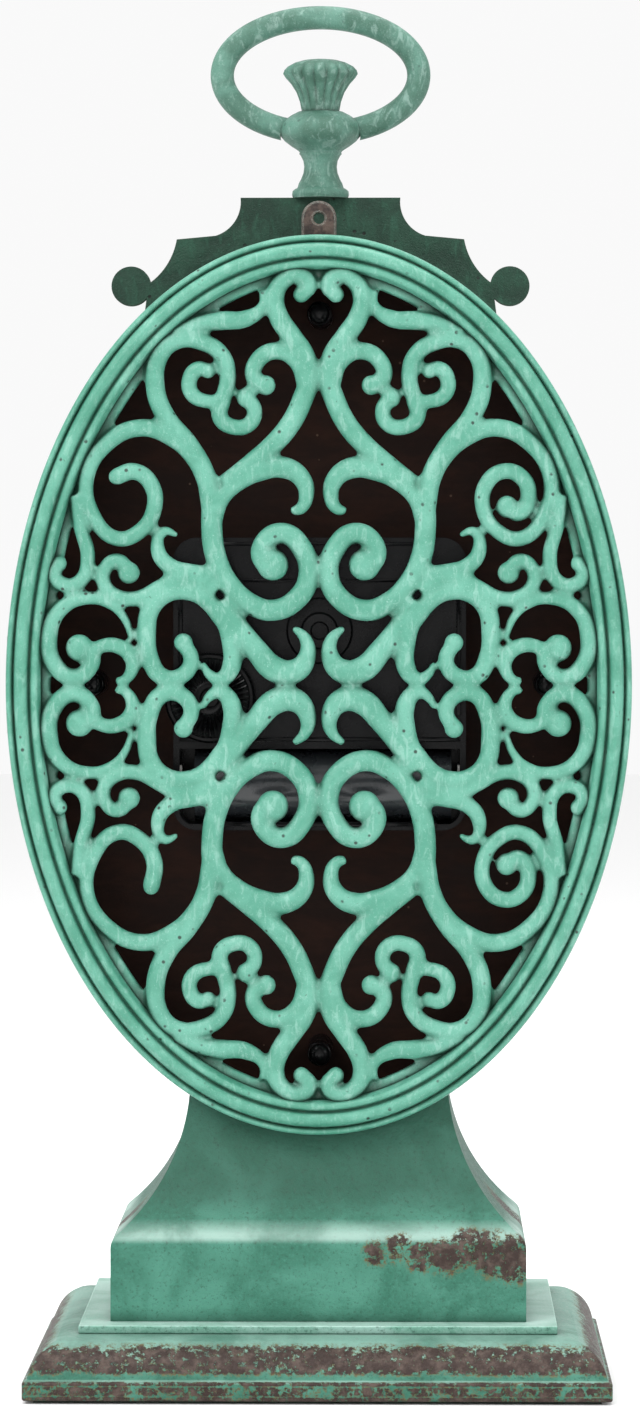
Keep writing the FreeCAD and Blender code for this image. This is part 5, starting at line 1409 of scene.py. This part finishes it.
@dataclass(frozen=True)
class Movement:
    """Black quartz movement with its setting knob, ribs and cell."""

    ribs: int = 40
    knob_mm: float = 8.6

    def build(self, bench: Bench) -> None:
        """Dresses the movement and makes the knob and the raised details."""
        bench.dress(BLACK_PLASTIC, "movement_front_case", "control_chip")
        shell = bench.keep(bench.node_copy("movement_back_cover"), "movement_shell", Body.CLOCK,
                           BLACK_PLASTIC, ("movement_back_cover",))
        bench.soften(shell, 0.45)
        bench.dress(CELL_WRAP, "battery")
        bench.dress(STEEL, "contact_plate", "contact_spring", "quartz_crystal", "stator_plate",
                    "second_arbor")
        bench.dress(COPPER, "coil")
        bench.dress(MAGNET, "rotor")
        bench.dress(CIRCUIT, "circuit_board")
        bench.dress(ACETAL, "minute_arbor", "hour_wheel", "idler_wheel", "reducer_wheel")
        bench.keep(self._knob(), "ribbed_knob", Body.KNOB, BLACK_PLASTIC, ("set_knob",), 30)
        bench.keep(self._details(), "movement_details", Body.CLOCK, BLACK_PLASTIC, (), 30)

    def _knob(self) -> bmesh.types.BMesh:
        """The setting knob: a disc whose face has raised rays, on a short stem."""
        low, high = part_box("set_knob")
        centre = Vector(((low.x + high.x) / 2, 0, (low.z + high.z) / 2))
        shell_low, shell_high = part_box("movement_back_cover")
        front = shell_low.y - 0.4 * MM
        face = low.y
        outline = [
            (0.0, face + 0.9 * MM), (1.6, face + 0.9 * MM), (1.9, face + 0.2 * MM), (2.6, face + 0.1 * MM),
            (3.1, face + 0.3 * MM), (7.4, face + 0.3 * MM), (7.7, face), (8.2, face),
            (self.knob_mm, face + 0.4 * MM),
            (self.knob_mm, front), (1.7, front), (1.6, high.y), (0.0, high.y),
        ]
        bm = spun([(centre.x + radius * MM, y, centre.z) for radius, y in outline], Vector((0, 1, 0)), centre,
                  self.ribs * 8, closed=False)
        bmesh.ops.subdivide_edges(
            bm, edges=[edge for edge in bm.edges if edge.calc_length() > 3.5 * MM
                       and all(abs(vert.co.y - face - 0.3 * MM) < 1e-6 for vert in edge.verts)], cuts=3)
        for vert in bm.verts:
            radius = math.hypot(vert.co.x - centre.x, vert.co.z - centre.z)
            turn = math.atan2(vert.co.z - centre.z, vert.co.x - centre.x)
            if 3.15 * MM < radius < 7.35 * MM and vert.co.y < face + 1.0 * MM:
                vert.co.y += 0.55 * MM * (0.5 - 0.5 * math.cos(self.ribs * turn))
        bmesh.ops.recalc_face_normals(bm, faces=bm.faces)
        return bm

    def _details(self) -> bmesh.types.BMesh:
        """Raised lines, the centre boss and the lip of the battery bay on the rear of the movement."""
        low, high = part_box("movement_back_cover")
        width = high.x - low.x
        bm = bmesh.new()
        rear = low.y
        bars = (
            (0.0, high.z - 8.2 * MM, width * 0.86, 0.7 * MM),
            (0.0, low.z + 17.4 * MM, width * 0.96, 0.9 * MM),
            (0.0, low.z + 1.2 * MM, width * 0.80, 0.9 * MM), (0.0, high.z - 1.2 * MM, width * 0.72, 0.7 * MM),
        )
        for x, z, length, height in bars:
            self._bar(bm, Vector((x, rear, z)), length, height)
        for side in (-1, 1):
            self._bar(bm, Vector((side * (width / 2 - 1.4 * MM), rear, (low.z + high.z) / 2 + 6 * MM)),
                      0.9 * MM, 24 * MM)
        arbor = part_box("dial")
        centre = Vector((0, 0, (arbor[0].z + arbor[1].z) / 2))
        outline = [(0.0, rear - 0.2 * MM), (1.5, rear - 0.2 * MM), (1.8, rear - 0.8 * MM),
                   (3.2, rear - 0.9 * MM),
                   (3.6, rear - 0.4 * MM), (6.0, rear - 0.35 * MM), (6.4, rear)]
        boss = spun([(radius * MM, y, centre.z) for radius, y in outline], Vector((0, 1, 0)), centre, 48,
                    closed=False)
        absorb(bm, boss)
        bmesh.ops.recalc_face_normals(bm, faces=bm.faces)
        return bm

    def _bar(self, bm: bmesh.types.BMesh, place: Vector, length: float, height: float) -> None:
        """Adds one rounded raised line."""
        made = bmesh.ops.create_cube(bm, size=1.0)
        size = Matrix.Diagonal((length, 0.7 * MM, height, 1.0))
        bmesh.ops.transform(bm, matrix=Matrix.Translation(place) @ size, verts=made["verts"])
        edges = {edge for vert in made["verts"] for edge in vert.link_edges}
        bmesh.ops.bevel(bm, geom=list(edges), offset=0.2 * MM, offset_type="OFFSET", segments=2, profile=0.5,
                        affect="EDGES", material=-1)


# ---------------------------------------------------------------- floor, light and camera


@dataclass(frozen=True)
class Studio:
    """Pale floor, soft light all round and a camera facing the rear cover."""

    camera_place: tuple[float, float, float] = (0.016, -1.085, 0.1575)
    aim: tuple[float, float, float] = (-0.0001, 0.0, 0.1285)
    lens_mm: float = 142.7
    world_strength: float = 0.95

    def build(self) -> None:
        """Makes the floor, the lights and the camera."""
        self._floor()
        self._world()
        self._light("key_panel", (-0.55, -0.75, 0.85), 0.55, 7.5)
        self._light("fill_panel", (0.75, -0.70, 0.45), 0.60, 3.2)
        self._light("top_panel", (0.05, 0.10, 1.05), 0.70, 7.0)
        self._camera()

    def _floor(self) -> None:
        """A plain pale floor."""
        bm = bmesh.new()
        bmesh.ops.create_grid(bm, x_segments=1, y_segments=1, size=3.0)
        mesh = bpy.data.meshes.new("floor")
        bm.to_mesh(mesh)
        bm.free()
        floor = stood("floor", mesh)
        mix = Recipe("floor_white")
        mix.set(Socket.COLOUR, (0.93, 0.93, 0.93))
        mix.set(Socket.ROUGH, 0.9)
        floor.data.materials.append(mix.material)

    def _world(self) -> None:
        """An even white surround."""
        world = bpy.data.worlds.new("surround")
        bpy.context.scene.world = world
        world.use_nodes = True
        world.node_tree.nodes["Background"].inputs["Color"].default_value = (1.0, 1.0, 1.0, 1.0)
        world.node_tree.nodes["Background"].inputs["Strength"].default_value = self.world_strength
        bpy.context.scene.view_settings.view_transform = "Standard"
        bpy.context.scene.view_settings.look = "None"

    def _light(self, name: str, place: tuple[float, float, float], size: float, power: float) -> None:
        """A square soft panel aimed at the middle of the clock."""
        lamp = bpy.data.lights.new(name, "AREA")
        lamp.size = size
        lamp.energy = power
        panel = stood(name, lamp)
        panel.location = place
        panel.rotation_euler = (Vector(self.aim) - Vector(place)).to_track_quat("-Z", "Y").to_euler()

    def _camera(self) -> None:
        """The camera, level with the upper half of the clock."""
        camera = stood("camera", bpy.data.cameras.new("camera"))
        camera.data.lens = self.lens_mm
        camera.data.clip_start = 0.05
        camera.location = self.camera_place
        ahead = Vector(self.aim) - Vector(self.camera_place)
        camera.rotation_euler = ahead.to_track_quat("-Z", "Y").to_euler()
        bpy.context.scene.camera = camera


def main() -> None:
    """Builds every sub-assembly round the frame."""
    logging.basicConfig(level=logging.INFO, format="%(name)s: %(message)s")
    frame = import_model()
    bench = Bench(frame)
    Base().build(bench)
    Case().build(bench)
    Pendant().build(bench)
    RearCover.from_frame().build(bench)
    Front.from_frame().build(bench)
    Movement().build(bench)
    Studio().build()


if __name__ == "__main__":
    main()
